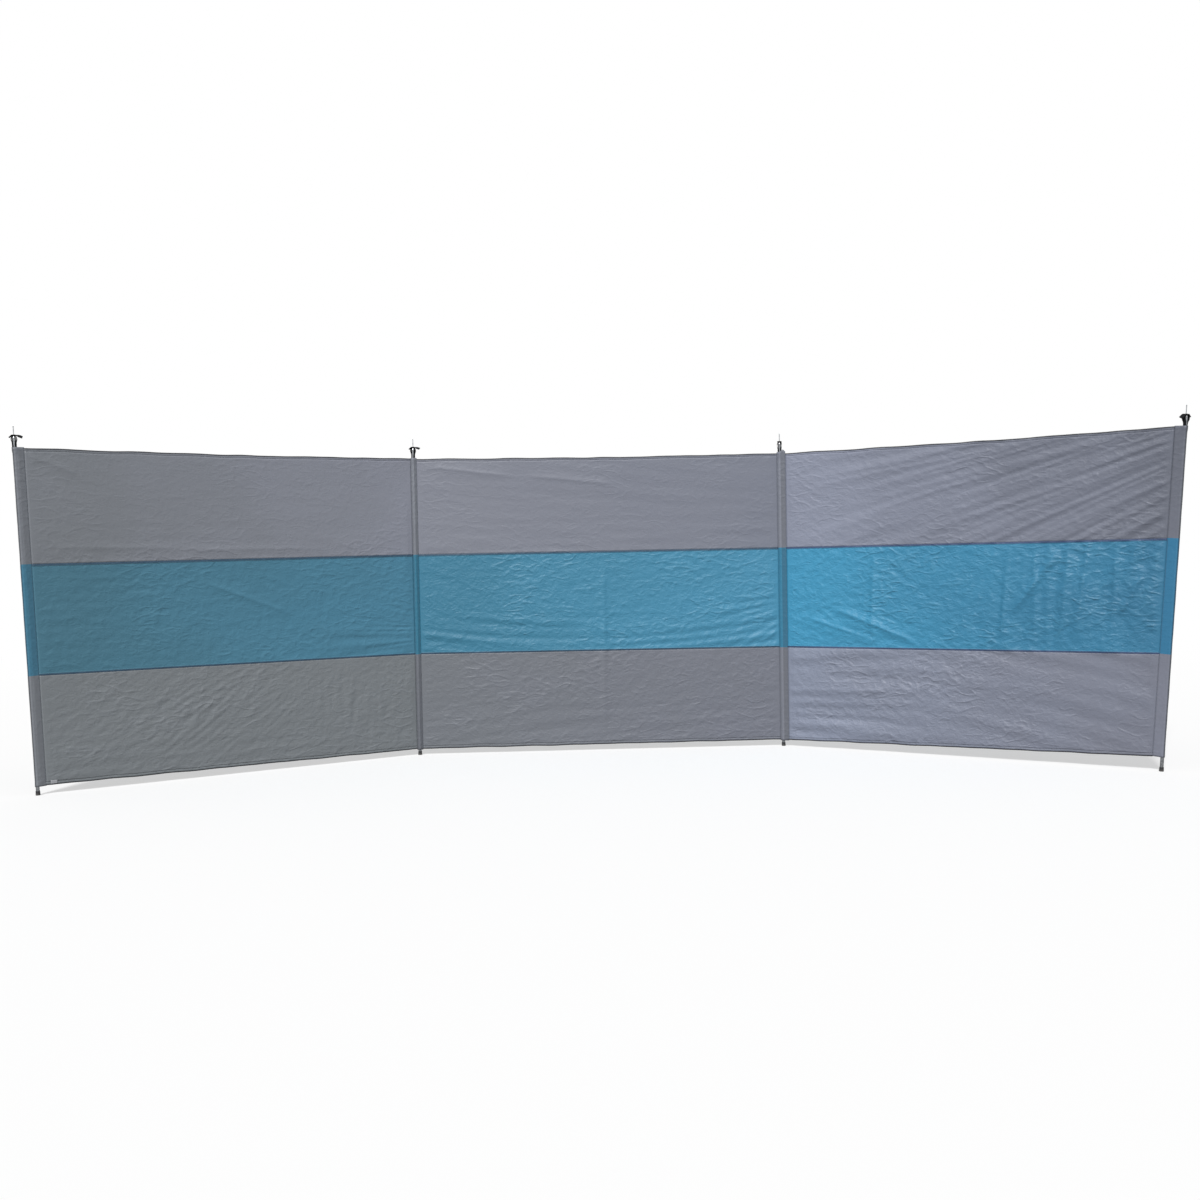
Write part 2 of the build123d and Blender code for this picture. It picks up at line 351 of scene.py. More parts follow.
# %% Right bay
TENSION_HUB = (2.60, 1.66)  # beyond the top outer corner, where the waves' lines meet
RIGHT_CRUMPLES = (  # stripe, height, turn from level, length, width, seed
    ("top", 0.0010, -30, 0.09, 0.035, 54),
    ("blue", 0.0018, 25, 0.12, 0.045, 55),
    ("blue", 0.0016, -38, 0.10, 0.036, 56),
    ("blue", 0.0012, 75, 0.09, 0.034, 63),
)
RIGHT_FOLDS = (  # stripe, start, stop, width, height
    ("blue", (1.20, 0.89), (1.02, 0.62), 0.011, 0.0056),
    ("blue", (1.52, 0.80), (1.43, 0.62), 0.011, 0.0048),
    ("blue", (1.30, 0.90), (1.27, 0.50), 0.012, 0.0046),
    ("blue", (0.10, 0.60), (0.42, 0.50), 0.010, 0.0034),
    ("blue", (0.24, 0.64), (0.62, 0.49), 0.010, 0.0034),
)
UPRIGHT_FOLDS = ((0.42, 0.01), (0.98, 0.01), (1.11, -0.01), (1.21, 0.02), (1.40, 0.01))  # foot, lean


def right_creases(x, z):
    """Height of the right bay's creases: a sum of patterns, each times its height and area."""
    low, blue, top = stripe_masks(z)
    lift = plain_creases(x, z, RIGHT_CRUMPLES, RIGHT_FOLDS)
    lift += 0.0015 * ripples(x, z, 6, 1.0, 0.32, 51)
    lift += top * 0.0024 * rays(x, z, TENSION_HUB, 2.1, 0.9, 52) * ramp(x, -0.2, 0.6)
    lift += top * 0.0036 * folded(rays(x, z, TENSION_HUB, 1.35, 0.9, 62)) * ramp(x, -0.1, 0.5)
    lift += top * 0.0014 * rays(x, z, TENSION_HUB, 0.9, 0.5, 53) * ramp(x, 0.2, 1.2)
    lift += (top + blue) * crease(x, z, (0.305, 0.60), (0.300, 1.25), 0.005, 0.0009)
    near_end_pole = ramp(x, 0.70, 1.15)
    lift += blue * 0.0034 * near_end_pole * ripples(x, z, 84, 0.34, 0.052, 57)
    lift += blue * 0.0044 * near_end_pole * crumples(x, z, 86, 0.40, 0.055, 65)
    by_inner_pole = ramp(x, 0.8, 0.3) * ramp(z, 0.68, 0.5)
    lift += blue * 0.0030 * by_inner_pole * ripples(x, z, -17, 0.45, 0.040, 58)
    for base, lean in UPRIGHT_FOLDS:
        lift += blue * crease(x, z, (base, 0.49), (base + lean, 0.89), 0.008, 0.0036)
    lift += low * 0.0054 * ramp(x, 0.85, 0.25) * ripples(x, z, 1, 0.60, 0.048, 59)
    crushed = patch(x, z, (0.72, 0.30), (0.42, 0.14))
    lift += low * 0.0024 * crushed * crumples(x, z, 30, 0.07, 0.035, 60)
    lift += low * 0.0014 * ramp(x, 1.1, 0.5) * crumples(x, z, -25, 0.11, 0.036, 64)
    lift += low * 0.0024 * ramp(x, 0.5, 1.0) * ripples(x, z, -14, 0.60, 0.060, 61)
    return lift


def right_crush(x, z):
    """How finely the right bay is crumpled: its bottom stripe is smoother to the right."""
    low, blue, top = stripe_masks(z)
    return (1.25 - 0.65 * ramp(x, 1.0, 1.4)) * low + 1.4 * blue + 0.8 * top


CREASES = {"left": left_creases, "middle": middle_creases, "right": right_creases}
CRUSH = {"left": left_crush, "middle": middle_crush, "right": right_crush}
print("right bay creases, mm:", np.round(1000 * np.ptp(right_creases(x_test, z_test)), 1))

# %% [markdown]
# ## One surface for everything sewn into a bay
#
# A point of the cloth lies on the straight line between the two poles, at the heights of
# its line on each, and then stands out by the creases. Stripes, seams, hems and stitches
# all ask the same function, so nothing floats and nothing cuts through.

# %% The cloth's surface
QUIET_EDGE = 0.03  # creases fade out over this width beside a sleeve
QUIET_CRUSH = 0.3  # share of the crumples that is left there
BILLOW = 0.004  # how far the middle of a bay is pushed to the back
BILLOW_HEIGHT = 1.35
SAG_START, SAG_STOP = 0.95, 1.34  # heights between which the top edge's sag sets in
WAVER_DEPTH, WAVER_LENGTH, WAVER_RISE = 0.0030, 0.11, 0.9  # of the hems, up and down
LOW_WAVER, HIGH_WAVER = (0.06, 0.30), (1.10, 1.32)  # heights over which it fades out and in
PUCKER_LENGTH = 0.022
PUCKER_REACH = 0.020
PUCKER_RISE = 0.2
PUCKER_HEIGHT = 0.0016
PUCKER_LINES = ((0.035, 71), (LOW_LINE, 72), (HIGH_LINE, 73), (TOP_LINE, 74))  # height, seed
MOST_CRUSH = 1.5
CREASE_GAIN = {"left": 1.8, "middle": 2.2, "right": 2.3}


def pucker(x, z, line, seed):
    """Short waves that thread pulls into cloth beside a seam, fading as exp(-distance/reach)."""
    waves = noise(x / PUCKER_LENGTH, z / PUCKER_RISE, seed)
    return PUCKER_HEIGHT * waves * np.exp(-np.abs(z - line) / PUCKER_REACH)


def surface(bay, share, left_height, right_height):
    """Points of the cloth, and how crushed it is there.

    Share runs from 0 on the left pole's axis to 1 on the right one's. The point between
    the poles is (1 - share) * left + share * right. It moves out of the bay's plane by
    the creases, which fade to nothing beside the sleeves, and by a slight billow."""
    left, right = BAY_POLES[bay]
    share = np.asarray(share, float)
    flat = (1 - share)[..., None] * along_pole(left, left_height)
    flat = flat + share[..., None] * along_pole(right, right_height)
    x = share * bay_width[bay]
    z = (1 - share) * left_height + share * right_height
    flat[..., 2] -= TOP_SAG * 4 * share * (1 - share) * ramp(z, SAG_START, SAG_STOP)
    near_hem = 1 - ramp(z, *LOW_WAVER) + ramp(z, *HIGH_WAVER)
    flat[..., 2] += WAVER_DEPTH * near_hem * noise(x / WAVER_LENGTH, z / WAVER_RISE, 70)
    left_inset, right_inset = STITCH_INSET[left][1], STITCH_INSET[right][0]
    quiet = ramp(x, left_inset, left_inset + QUIET_EDGE)
    quiet = quiet * ramp(bay_width[bay] - x, right_inset, right_inset + QUIET_EDGE)
    lift = CREASE_GAIN[bay] * CREASES[bay](x, z)
    lift = lift - BILLOW * np.sin(np.pi * share) * np.sin(np.pi * np.clip(z / BILLOW_HEIGHT, 0, 1))
    lift = lift + sum(pucker(x, z, line, seed) for line, seed in PUCKER_LINES)
    points = flat + (lift * quiet)[..., None] * bay_front[bay]
    return points, np.clip(CRUSH[bay](x, z), 0, MOST_CRUSH) * (QUIET_CRUSH + (1 - QUIET_CRUSH) * quiet)


def bay_shares(bay, step, tuck=0.002):
    """Shares from the stitches of the left sleeve to those of the right one."""
    left, right = BAY_POLES[bay]
    start = (STITCH_INSET[left][1] - tuck) / bay_width[bay]
    stop = 1 - (STITCH_INSET[right][0] - tuck) / bay_width[bay]
    return np.linspace(start, stop, 2 + int((stop - start) * bay_width[bay] / step))


points, crush = surface("middle", np.array([0.5]), 0.7, 0.7)
print("middle of the middle bay", np.round(points[0], 3), "crush", np.round(crush, 2))

# %% [markdown]
# ## From grid to closed cloth
#
# Real cloth has two sides. A grid of points becomes a thin closed shell: the grid pushed
# out along its normals by half the thickness, the same pushed in, and a rim round the
# border that joins them. Solidify would do this as well. Here it is written out, so that
# the thickness can change over the sheet and the edges of a hem come out round.

# %% Mesh makers
def surface_normals(grid):
    """Unit normals of a grid of points: the cross product of its two directions."""
    return unit(np.cross(np.gradient(grid, axis=1), np.gradient(grid, axis=0)))


def quads(rows, columns, start=0):
    """Corner numbers of the faces of a grid, going round each face the same way."""
    corner = start + np.arange(rows * columns).reshape(rows, columns)
    return np.stack([corner[:-1, :-1], corner[:-1, 1:], corner[1:, 1:], corner[1:, :-1]], -1).reshape(-1, 4)


def make_mesh(name, vertices, faces, materials, uv=None, face_material=None, smooth=True, **marks):
    """An object at the origin, with its UV map in metres of cloth.

    A mark is one number for each point, which a material reads by the mark's name."""
    mesh = bpy.data.meshes.new(name)
    mesh.from_pydata(vertices.reshape(-1, 3).tolist(), [], faces)
    mesh.polygons.foreach_set("use_smooth", np.full(len(mesh.polygons), smooth))
    for material in materials:
        mesh.materials.append(material)
    if face_material is not None:
        mesh.polygons.foreach_set("material_index", face_material.astype(np.int32))
    if uv is not None:
        corner = np.zeros(len(mesh.loops), np.int32)
        mesh.loops.foreach_get("vertex_index", corner)
        layer = mesh.uv_layers.new(name="cloth")
        layer.data.foreach_set("uv", uv.reshape(-1, 2)[corner].astype(np.float32).ravel())
    for mark, values in marks.items():
        attribute = mesh.attributes.new(mark, "FLOAT", "POINT")
        attribute.data.foreach_set("value", values.astype(np.float32).ravel())
    mesh.validate()
    piece = bpy.data.objects.new(name, mesh)
    bpy.context.scene.collection.objects.link(piece)
    return piece


def shell(name, grid, thickness, materials, uv, **marks):
    """A closed sheet about a grid: front, back and a rim. Thickness may vary by point."""
    rows, columns = grid.shape[:2]
    half = np.broadcast_to(np.asarray(thickness) / 2, (rows, columns))[..., None]
    out = surface_normals(grid) * half
    front = quads(rows, columns)
    back = quads(rows, columns, rows * columns)[:, ::-1]
    number = np.arange(rows * columns).reshape(rows, columns)
    border = np.concatenate([number[0, :-1], number[:-1, -1], number[-1, :0:-1], number[:0:-1, 0]])
    ahead = np.roll(border, -1)
    rim = np.stack([ahead, border, border + rows * columns, ahead + rows * columns], -1)
    faces = np.concatenate([front, back, rim]).tolist()
    both = {mark: np.stack([values, values]) for mark, values in marks.items()}
    sides = np.stack([grid + out, grid - out])
    return make_mesh(name, sides, faces, materials, np.stack([uv, uv]), **both)


def rings(rows, count):
    """Point numbers of closed rings, those of the next point on each, and the walls between."""
    number = np.arange(rows * count).reshape(rows, count)
    ahead = np.roll(number, -1, axis=1)
    wall = np.stack([number[:-1], ahead[:-1], ahead[1:], number[1:]], -1).reshape(-1, 4)
    return number, ahead, wall


def count_triangles(pieces):
    """Each face has two triangles fewer than it has corners."""
    return sum(len(p.vertices) - 2 for o in pieces for p in o.data.polygons)


print("faces of a grid of 3 by 4 points:", len(quads(3, 4)))

# %% [markdown]
# ## Colour and nodes
#
# Colours are written as the sRGB hex values a screen shows. Cycles works in linear light,
# so one function converts them. One more function adds any node with its settings and
# its links, which keeps each material a short recipe.

# %% Colour and node helpers
def colour(hex_value):
    """Linear RGBA of an sRGB hex value: c/12.92 below 0.04045, else ((c+0.055)/1.055)^2.4."""
    srgb = np.array([int(hex_value[i:i + 2], 16) for i in (1, 3, 5)]) / 255
    linear = np.where(srgb <= 0.04045, srgb / 12.92, ((srgb + 0.055) / 1.055) ** 2.4)
    return (*linear.tolist(), 1.0)


def add(tree, kind, settings=(), links=(), into=None):
    """Adds a shader node. A setting is a property or the value of an input.

    Into is the input of another node that this node's first output feeds."""
    node = tree.nodes.new("ShaderNode" + kind)
    for key, value in dict(settings).items():
        if isinstance(key, str) and hasattr(node, key):
            setattr(node, key, value)
        else:
            node.inputs[key].default_value = value
    for key, source in dict(links).items():
        tree.links.new(source, node.inputs[key])
    if into is not None:
        tree.links.new(node.outputs[0], into)
    return node


def new_material(name):
    """An empty node material, with the tree and its surface output."""
    material = bpy.data.materials.new(name)
    material.use_nodes = True
    tree = material.node_tree
    tree.nodes.clear()
    return material, tree, add(tree, "OutputMaterial").inputs["Surface"]


print("linear mid grey", [round(v, 3) for v in colour("#808080")[:3]])

# %% [markdown]
# ## Coated polyester taffeta
#
# The cloth is plain-woven polyester with a thin waterproof coating. The weave is too fine
# to see from a few steps away. What the eye gets is a soft sheen and crisp small creases
# that stay after packing, because the coating is stiff. So the bump has four scales: soft
# folds a few centimetres long, flat facets like those of crushed foil, thin creases with
# flat cloth between them, and the weave. The first three are strongest where the piece says
# it is crushed. Where the cloth is doubled, less light comes through, and that shade is painted into its
# colour, as is the shade along hem and seam edges and across the sleeves. The bays' tones and their drift
# across each bay are painted light and shade too.

# %% Bump of the cloth
WEAVE_PITCH = 0.0012  # real yarns are 0.25 mm apart, drawn coarser so that they show
WEAVE_DEPTH = 0.00006
WAVE_SCALE = np.pi / 10  # of a Wave texture with one wave each metre
CRUMPLE_LAYERS = (  # soft folds: length, width, turn from level, height
    (0.052, 0.028, 14, 0.0020),
    (0.028, 0.019, -40, 0.0016),
    (0.013, 0.010, 60, 0.0011),
)
LINE_LAYERS = (  # thin creases with flat cloth between them: length, width, turn, height
    (0.090, 0.050, 20, 0.0007),
    (0.070, 0.040, -50, 0.0008),
    (0.080, 0.036, 84, 0.0012),
    (0.036, 0.024, 50, 0.0005),
)
LINE_WIDTH = 0.12  # how far from its middle value the noise still counts as on a crease
LINE_PATCHES = 0.4  # clouds in which a layer's creases show, for each of its lengths
PATCH_START, PATCH_STOP = 0.46, 0.62
FACET_SIZE = 0.030
FACET_HEIGHT = 0.0007
FACET_BEND, FACET_BEND_SCALE = 0.06, 14.0
MIX_A, MIX_B, MIX_OUT = 6, 7, 2  # the colour sockets of a Mix node


def stretched_noise(tree, uv, length, width, turn, detail=1.5, distortion=0.5):
    """How far drawn-out noise is from its middle value: 0 along winding lines of cloth."""
    stretch = {"Rotation": (0, 0, -np.radians(turn)), "Scale": (1 / length, 1 / width, 1)}
    placed = add(tree, "Mapping", stretch, {"Vector": uv}).outputs["Vector"]
    grain = add(tree, "TexNoise", {"noise_dimensions": "2D", "Scale": 1.0, "Detail": detail,
                                   "Distortion": distortion}, {"Vector": placed}).outputs["Fac"]
    centred = add(tree, "Math", {"operation": "SUBTRACT", 1: 0.5}, {0: grain}).outputs[0]
    return add(tree, "Math", {"operation": "ABSOLUTE"}, {0: centred}).outputs[0]


def total(tree, values):
    """The sum of several values."""
    result = values[0]
    for value in values[1:]:
        result = add(tree, "Math", {"operation": "ADD"}, {0: result, 1: value}).outputs[0]
    return result


def crumple_height(tree, uv):
    """Soft folds: layers of noise, each folded at its middle value, in metres."""
    return total(tree, [
        add(tree, "Math", {"operation": "MULTIPLY", 1: rise},
            {0: stretched_noise(tree, uv, length, width, turn)}).outputs[0]
        for length, width, turn, rise in CRUMPLE_LAYERS
    ])


def line_height(tree, uv):
    """Thin creases: ridges only where the noise is near its middle, in metres.

    Larger clouds of noise let each layer's creases come and go."""
    layers = []
    for length, width, turn, rise in LINE_LAYERS:
        off_line = stretched_noise(tree, uv, length, width, turn, detail=0.5, distortion=0.1)
        ridge = add(tree, "MapRange", {"From Max": LINE_WIDTH, "To Min": rise, "To Max": 0.0},
                    {"Value": off_line}).outputs["Result"]
        cloud = add(tree, "TexNoise", {"noise_dimensions": "2D", "Scale": LINE_PATCHES / length,
                                       "Detail": 1.0}, {"Vector": uv}).outputs["Fac"]
        here = add(tree, "MapRange", {"From Min": PATCH_START, "From Max": PATCH_STOP},
                   {"Value": cloud}).outputs["Result"]
        layers.append(add(tree, "Math", {"operation": "MULTIPLY"}, {0: ridge, 1: here}).outputs[0])
    return total(tree, layers)


def facet_height(tree, uv):
    """Flat-sided facets of crushed foil, in metres.

    Manhattan distance to scattered points makes four-sided pyramids, and noise bends them."""
    bend = add(tree, "TexNoise", {"noise_dimensions": "2D", "Scale": FACET_BEND_SCALE, "Detail": 1.0},
               {"Vector": uv}).outputs["Color"]
    shift = add(tree, "VectorMath", {"operation": "SCALE", "Scale": FACET_BEND}, {0: bend}).outputs[0]
    bent = add(tree, "VectorMath", {"operation": "ADD"}, {0: uv, 1: shift}).outputs[0]
    cells = add(tree, "TexVoronoi", {"voronoi_dimensions": "2D", "distance": "MANHATTAN",
                                     "Scale": 1 / FACET_SIZE}, {"Vector": bent}).outputs["Distance"]
    return add(tree, "Math", {"operation": "MULTIPLY", 1: FACET_HEIGHT}, {0: cells}).outputs[0]


print("bump layers of the cloth:", len(CRUMPLE_LAYERS) + len(LINE_LAYERS) + 2)

# %% Taffeta
CLOTH_REACH = 1.65  # metres over which the body colour, painted lighter or darker as light falls, runs from its first hex to its second
CLOUD_SCALE = 2.4  # soft clouds, about 0.4 m across, that bend this run
CLOUD_SHIFT = 0.12
WORN_START, WORN_STOP = 0.0005, 0.0011  # heights of thin creases where the paler tint sets in
WORN_TINT = 0.06


def taffeta(name, first_hex, second_hex, crease_hex, painted_shade_hex, rough=0.45, along="X"):
    """Woven polyester whose colour drifts from one hex to another, paler along its creases.

    The drift is painted light and shade, bent by soft clouds, and follows the cloth along X or Y. The colour
    turns to the painted shade colour where the piece's fold mark says so."""
    material, tree, surface_input = new_material(name)
    uv = add(tree, "UVMap", {"uv_map": "cloth"}).outputs["UV"]
    crushed = add(tree, "Attribute", {"attribute_name": "crush"}).outputs["Fac"]
    # the fold mark: how much painted shade lies here, on doubled cloth, along hem and seam edges and across
    # sleeves
    doubled = add(tree, "Attribute", {"attribute_name": "fold"}).outputs["Fac"]
    lines = line_height(tree, uv)
    height = total(tree, [crumple_height(tree, uv), facet_height(tree, uv), lines])
    strong = add(tree, "Math", {"operation": "MULTIPLY"}, {0: height, 1: crushed}).outputs[0]
    crumpled = add(tree, "Bump", {"Distance": 1.0}, {"Height": strong}).outputs["Normal"]
    warp, weft = (
        add(tree, "TexWave", {"bands_direction": way, "Scale": WAVE_SCALE / WEAVE_PITCH},
            {"Vector": uv}).outputs["Fac"]
        for way in ("X", "Y")
    )
    weave = add(tree, "Math", {"operation": "MULTIPLY"}, {0: warp, 1: weft}).outputs[0]
    normal = add(tree, "Bump", {"Distance": WEAVE_DEPTH},
                 {"Height": weave, "Normal": crumpled}).outputs["Normal"]
    cloudy = add(tree, "TexNoise", {"noise_dimensions": "2D", "Scale": CLOUD_SCALE, "Detail": 2.0},
                 {"Vector": uv}).outputs["Fac"]
    clouds = add(tree, "MapRange", {"From Min": 0.3, "From Max": 0.7, "To Min": -CLOUD_SHIFT,
                                    "To Max": CLOUD_SHIFT}, {"Value": cloudy}).outputs["Result"]
    run = add(tree, "SeparateXYZ", {}, {"Vector": uv}).outputs[along]
    # painted light and shade: the body colour runs lighter or darker along the bay as light falls on it
    drift = add(tree, "Math", {"operation": "MULTIPLY_ADD", 1: 1 / CLOTH_REACH},
                {0: run, 2: clouds}).outputs[0]
    body = add(tree, "Mix", {"data_type": "RGBA", MIX_A: colour(first_hex), MIX_B: colour(second_hex)},
               {0: drift}).outputs[MIX_OUT]
    on_crease = add(tree, "MapRange", {"From Min": WORN_START, "From Max": WORN_STOP,
                                       "To Max": WORN_TINT}, {"Value": lines}).outputs["Result"]
    worn = add(tree, "Math", {"operation": "MULTIPLY"}, {0: on_crease, 1: crushed}).outputs[0]
    # a paler tint along creases, then painted shade where the fold mark asks for it
    for tint_hex, amount in ((crease_hex, worn), (painted_shade_hex, doubled)):
        body = add(tree, "Mix", {"data_type": "RGBA", MIX_B: colour(tint_hex)},
                   {0: amount, MIX_A: body}).outputs[MIX_OUT]
    add(tree, "BsdfPrincipled", {"Roughness": rough, "IOR": 1.5, "Sheen Weight": 0.15,
                                 "Sheen Roughness": 0.4, "Sheen Tint": colour("#c8ccd8")},
        {"Base Color": body, "Normal": normal}, surface_input)
    return material


# painted shade of doubled and folded grey cloth
GREY_PAINTED_SHADE = "#2b2e33"
STRIPE_COLOURS = {  # painted light and shade by the bay's left pole, by its right pole; paler along creases; painted shade in folds; roughness
    ("left", "top"): ("#767a80", "#888b97", "#9094a0", GREY_PAINTED_SHADE, 0.50),
    ("left", "blue"): ("#427184", "#47809a", "#5f8ea2", "#2a485e", 0.50),
    ("left", "bottom"): ("#767b7f", "#7a7f83", "#9094a0", GREY_PAINTED_SHADE, 0.50),
    ("middle", "top"): ("#7d808b", "#767a87", "#969aa6", GREY_PAINTED_SHADE, 0.50),
    ("middle", "blue"): ("#387893", "#4288a8", "#6ba4bd", "#29465c", 0.50),
    ("middle", "bottom"): ("#6f7379", "#727580", "#8d919c", GREY_PAINTED_SHADE, 0.50),
    ("right", "top"): ("#898e9f", "#646874", "#a3a8b8", GREY_PAINTED_SHADE, 0.48),
    ("right", "blue"): ("#3e91b6", "#337293", "#6cabc6", "#37486a", 0.48),
    ("right", "bottom"): ("#858c9e", "#737683", "#a3a8b8", GREY_PAINTED_SHADE, 0.48),
}
stripe_taffeta = {
    (bay, stripe): taffeta(f"{stripe}_taffeta_{bay}", *recipe)
    for (bay, stripe), recipe in STRIPE_COLOURS.items()
}
SLEEVE_COLOURS = {  # doubled cloth, painted lighter or darker for each pole as light falls on it: grey at the foot, grey at the top, blue
    "left_end": ("#7f8389", "#7c8088", "#407993"),
    "left_inner": ("#65686f", "#82868f", "#2f718b"),
    "right_inner": ("#777a84", "#7c808c", "#317897"),
    "right_end": ("#7f8290", "#5c606a", "#307499"),
}
sleeve_taffeta = {
    place: (
        taffeta(f"grey_taffeta_{place}", low_hex, high_hex, "#8b8f98", "#3d4044", along="Y"),
        taffeta(f"blue_taffeta_{place}", blue_hex, blue_hex, "#5488a0", "#243e4e", along="Y"),
    )
    for place, (low_hex, high_hex, blue_hex) in SLEEVE_COLOURS.items()
}
print(len(bpy.data.materials), "materials so far")

# %% [markdown]
# ## Three stripes in each bay
#
# A stripe is a grid between two of the cloth's lines. The columns run from one sleeve's
# stitches to the next one's, and the rows run up the poles. Stretched cloth like this keeps its cut size.

# %% Stripes
ACROSS_STEP = 0.0085
UP_STEP = 0.0052


def strip_grid(bay, lower, upper, rows, step=ACROSS_STEP):
    """Grid of points between two lines of a bay, with its UV in metres and its crush."""
    left, right = BAY_POLES[bay]
    share = bay_shares(bay, step)[None, :]
    rise = np.linspace(0, 1, rows)[:, None]
    left_height = lower[left] + rise * (upper[left] - lower[left])
    right_height = lower[right] + rise * (upper[right] - lower[right])
    grid, crush = surface(bay, share, left_height, right_height)
    height = (1 - share) * left_height + share * right_height
    uv = np.stack([np.broadcast_to(share * bay_width[bay], height.shape), height], -1)
    return grid, uv, crush


STRIPES = {
    "bottom": (shifted(BOTTOM, HEM_HEIGHT), LOWER_SEAM, "bottom_stripe", "grey_cloth"),
    "blue": (LOWER_SEAM, UPPER_SEAM, "middle_stripe", "blue_cloth"),
    "top": (UPPER_SEAM, shifted(TOP, -HEM_HEIGHT), "top_stripe", "grey_cloth"),
}
cloth = {}
for bay in BAY_POLES:
    for stripe, (lower, upper, node, slot) in STRIPES.items():
        rows = 2 + int((upper["left_inner"] - lower["left_inner"]) / UP_STEP)
        grid, uv, crush = strip_grid(bay, lower, upper, rows)
        piece = shell(f"{bay}_{stripe}_cloth", grid, CLOTH_THICKNESS,
                      [stripe_taffeta[bay, stripe]], uv, crush=crush)
        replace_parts(piece, f"{bay}_{node}")
        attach(piece, BAY_BODY[bay])
        cloth[bay, stripe] = piece
print("stripes:", count_triangles(cloth.values()), "triangles")

# %% [markdown]
# ## Hems and seams
#
# A hem is the edge of the cloth folded over and sewn down. The seams between the stripes
# are felled: both edges are folded into each other and sewn twice. Both are thicker and stiffer than the
# cloth. Along the outer edge of each runs a band of painted shade, darker than the cloth. Each is a low shell
# whose thickness swells in the middle, on the same surface as the cloth.

# %% Hem and seam strips
FOLD_ROWS = 7
FOLD_STEP = 0.008
HEM_ROLL = 0.0062  # height of the band of painted shade along a hem's edge
# height of the band of painted shade along a seam's edge
SEAM_ROLL = 0.0090
ROLL_CORE = 0.6  # share of the band of painted shade that is fully dark
EDGE_ROUND = 0.15
FOLD_CRUSH = 0.7  # share of the cloth's crush that stiffer doubled cloth keeps
SEAM_LAP = 0.001


def folded_strip(name, bay, edge, inner, roll, material):
    """Doubled cloth between its outer edge line and its inner line, with painted shade up to its roll."""
    grid, uv, crush = strip_grid(bay, edge, inner, FOLD_ROWS, FOLD_STEP)
    rise = np.linspace(0, 1, FOLD_ROWS)[:, None]
    from_edge = rise * abs(inner["left_inner"] - edge["left_inner"])
    if inner["left_inner"] < edge["left_inner"]:
        grid, uv, crush, rise, from_edge = (v[::-1] for v in (grid, uv, crush, rise, from_edge))
    roundness = np.sqrt(np.clip(1 - (1 - 2 * rise) ** 4, EDGE_ROUND, 1))
    # painted shade along the rolled edge, carried in the fold mark
    fold = np.broadcast_to(1 - ramp(from_edge, ROLL_CORE * roll, roll), crush.shape)
    piece = shell(name, grid, FOLD_THICKNESS * roundness, [material], uv, crush=FOLD_CRUSH * crush, fold=fold)
    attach(piece, BAY_BODY[bay])
    return piece


FOLDED_STRIPS = {  # outer edge, inner line, roll (height of its painted shade), the stripe whose cloth it is made of, slot
    "bottom_hem_fold": (BOTTOM, shifted(BOTTOM, HEM_HEIGHT), HEM_ROLL, "bottom", "grey_cloth"),
    "top_hem_fold": (TOP, shifted(TOP, -HEM_HEIGHT), HEM_ROLL, "top", "grey_cloth"),
    "lower_seam": (shifted(LOWER_SEAM, -SEAM_LAP), shifted(LOWER_SEAM, SEAM_HEIGHT), SEAM_ROLL,
                   "blue", "blue_cloth"),
    "upper_seam": (shifted(UPPER_SEAM, SEAM_LAP), shifted(UPPER_SEAM, -SEAM_HEIGHT), SEAM_ROLL,
                   "blue", "blue_cloth"),
}
folds = {
    (bay, strip): folded_strip(f"{bay}_{strip}", bay, edge, inner, roll, stripe_taffeta[bay, stripe])
    for bay in BAY_POLES
    for strip, (edge, inner, roll, stripe, slot) in FOLDED_STRIPS.items()
}
for bay in BAY_POLES:
    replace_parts(folds[bay, "bottom_hem_fold"], f"{bay}_bottom_hem")
    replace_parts(folds[bay, "top_hem_fold"], f"{bay}_top_hem")
print("hems and seams:", count_triangles(folds.values()), "triangles")

# %% [markdown]
# ## Sleeves for the poles
#
# A sleeve is a flat sewn tube with a round pole inside it. Seen along the pole, each side
# of it is a straight line from the stitches to where it touches the pole, then the pole's
# own curve. In polar form that is radius / cos(angle left to the touching point). On an
# inner pole the tube has a flat side toward both bays, and on an end pole toward one.

# %% Sleeve sections
SLEEVE_RADIUS = 0.0081
SLEEVE_CLOTH = 0.0006
SLEEVE_TIP = 0.0006  # half the gap between the two layers at the stitches
MOUTH_RADIUS = 0.0098
MOUTH_LENGTH = 0.028
SECTION_POINTS = 40
SLEEVE_STEP = 0.0075
SLEEVE_CRUSH = 0.4
SLEEVE_RISE = {"left_end": 0.0, "left_inner": 0.003, "right_inner": 0.005, "right_end": 0.0}
SLEEVE_DROP = {"left_end": 0.003, "left_inner": 0.003, "right_inner": 0.003, "right_end": 0.001}
MOUTH_BULGE = {"left_end": 0.0, "left_inner": 0.0, "right_inner": 0.011, "right_end": 0.0}
BULGE_AT, BULGE_REACH = 0.015, 0.009
FOOT_SPARE = 0.0006  # how much wider the sleeve is at its foot
WAVER = (0.0005, 0.0009)  # how far loose cloth stands off the pole: on the whole, and in waves
WRINKLE_HEIGHT = 0.0022
SLEEVE_GIRTH = 0.1  # width of the cloth's pattern round a sleeve
PAINTED_SHADE_BANDS = {  # bands of painted shade across a sleeve, from the pole's axis to the right: start, stop, how dark
    "left_end": ((-0.020, -0.0060, 0.8), (0.012, 0.050, 0.22)),
    "left_inner": ((-0.020, -0.0095, 0.25), (0.004, 0.020, 0.18)),
    "right_inner": ((-0.020, -0.0095, 0.15), (0.008, 0.040, 0.38)),
    "right_end": ((0.0058, 0.020, 0.8), (-0.050, -0.0340, 0.12)),
}
BAND_SOFTNESS = 0.003


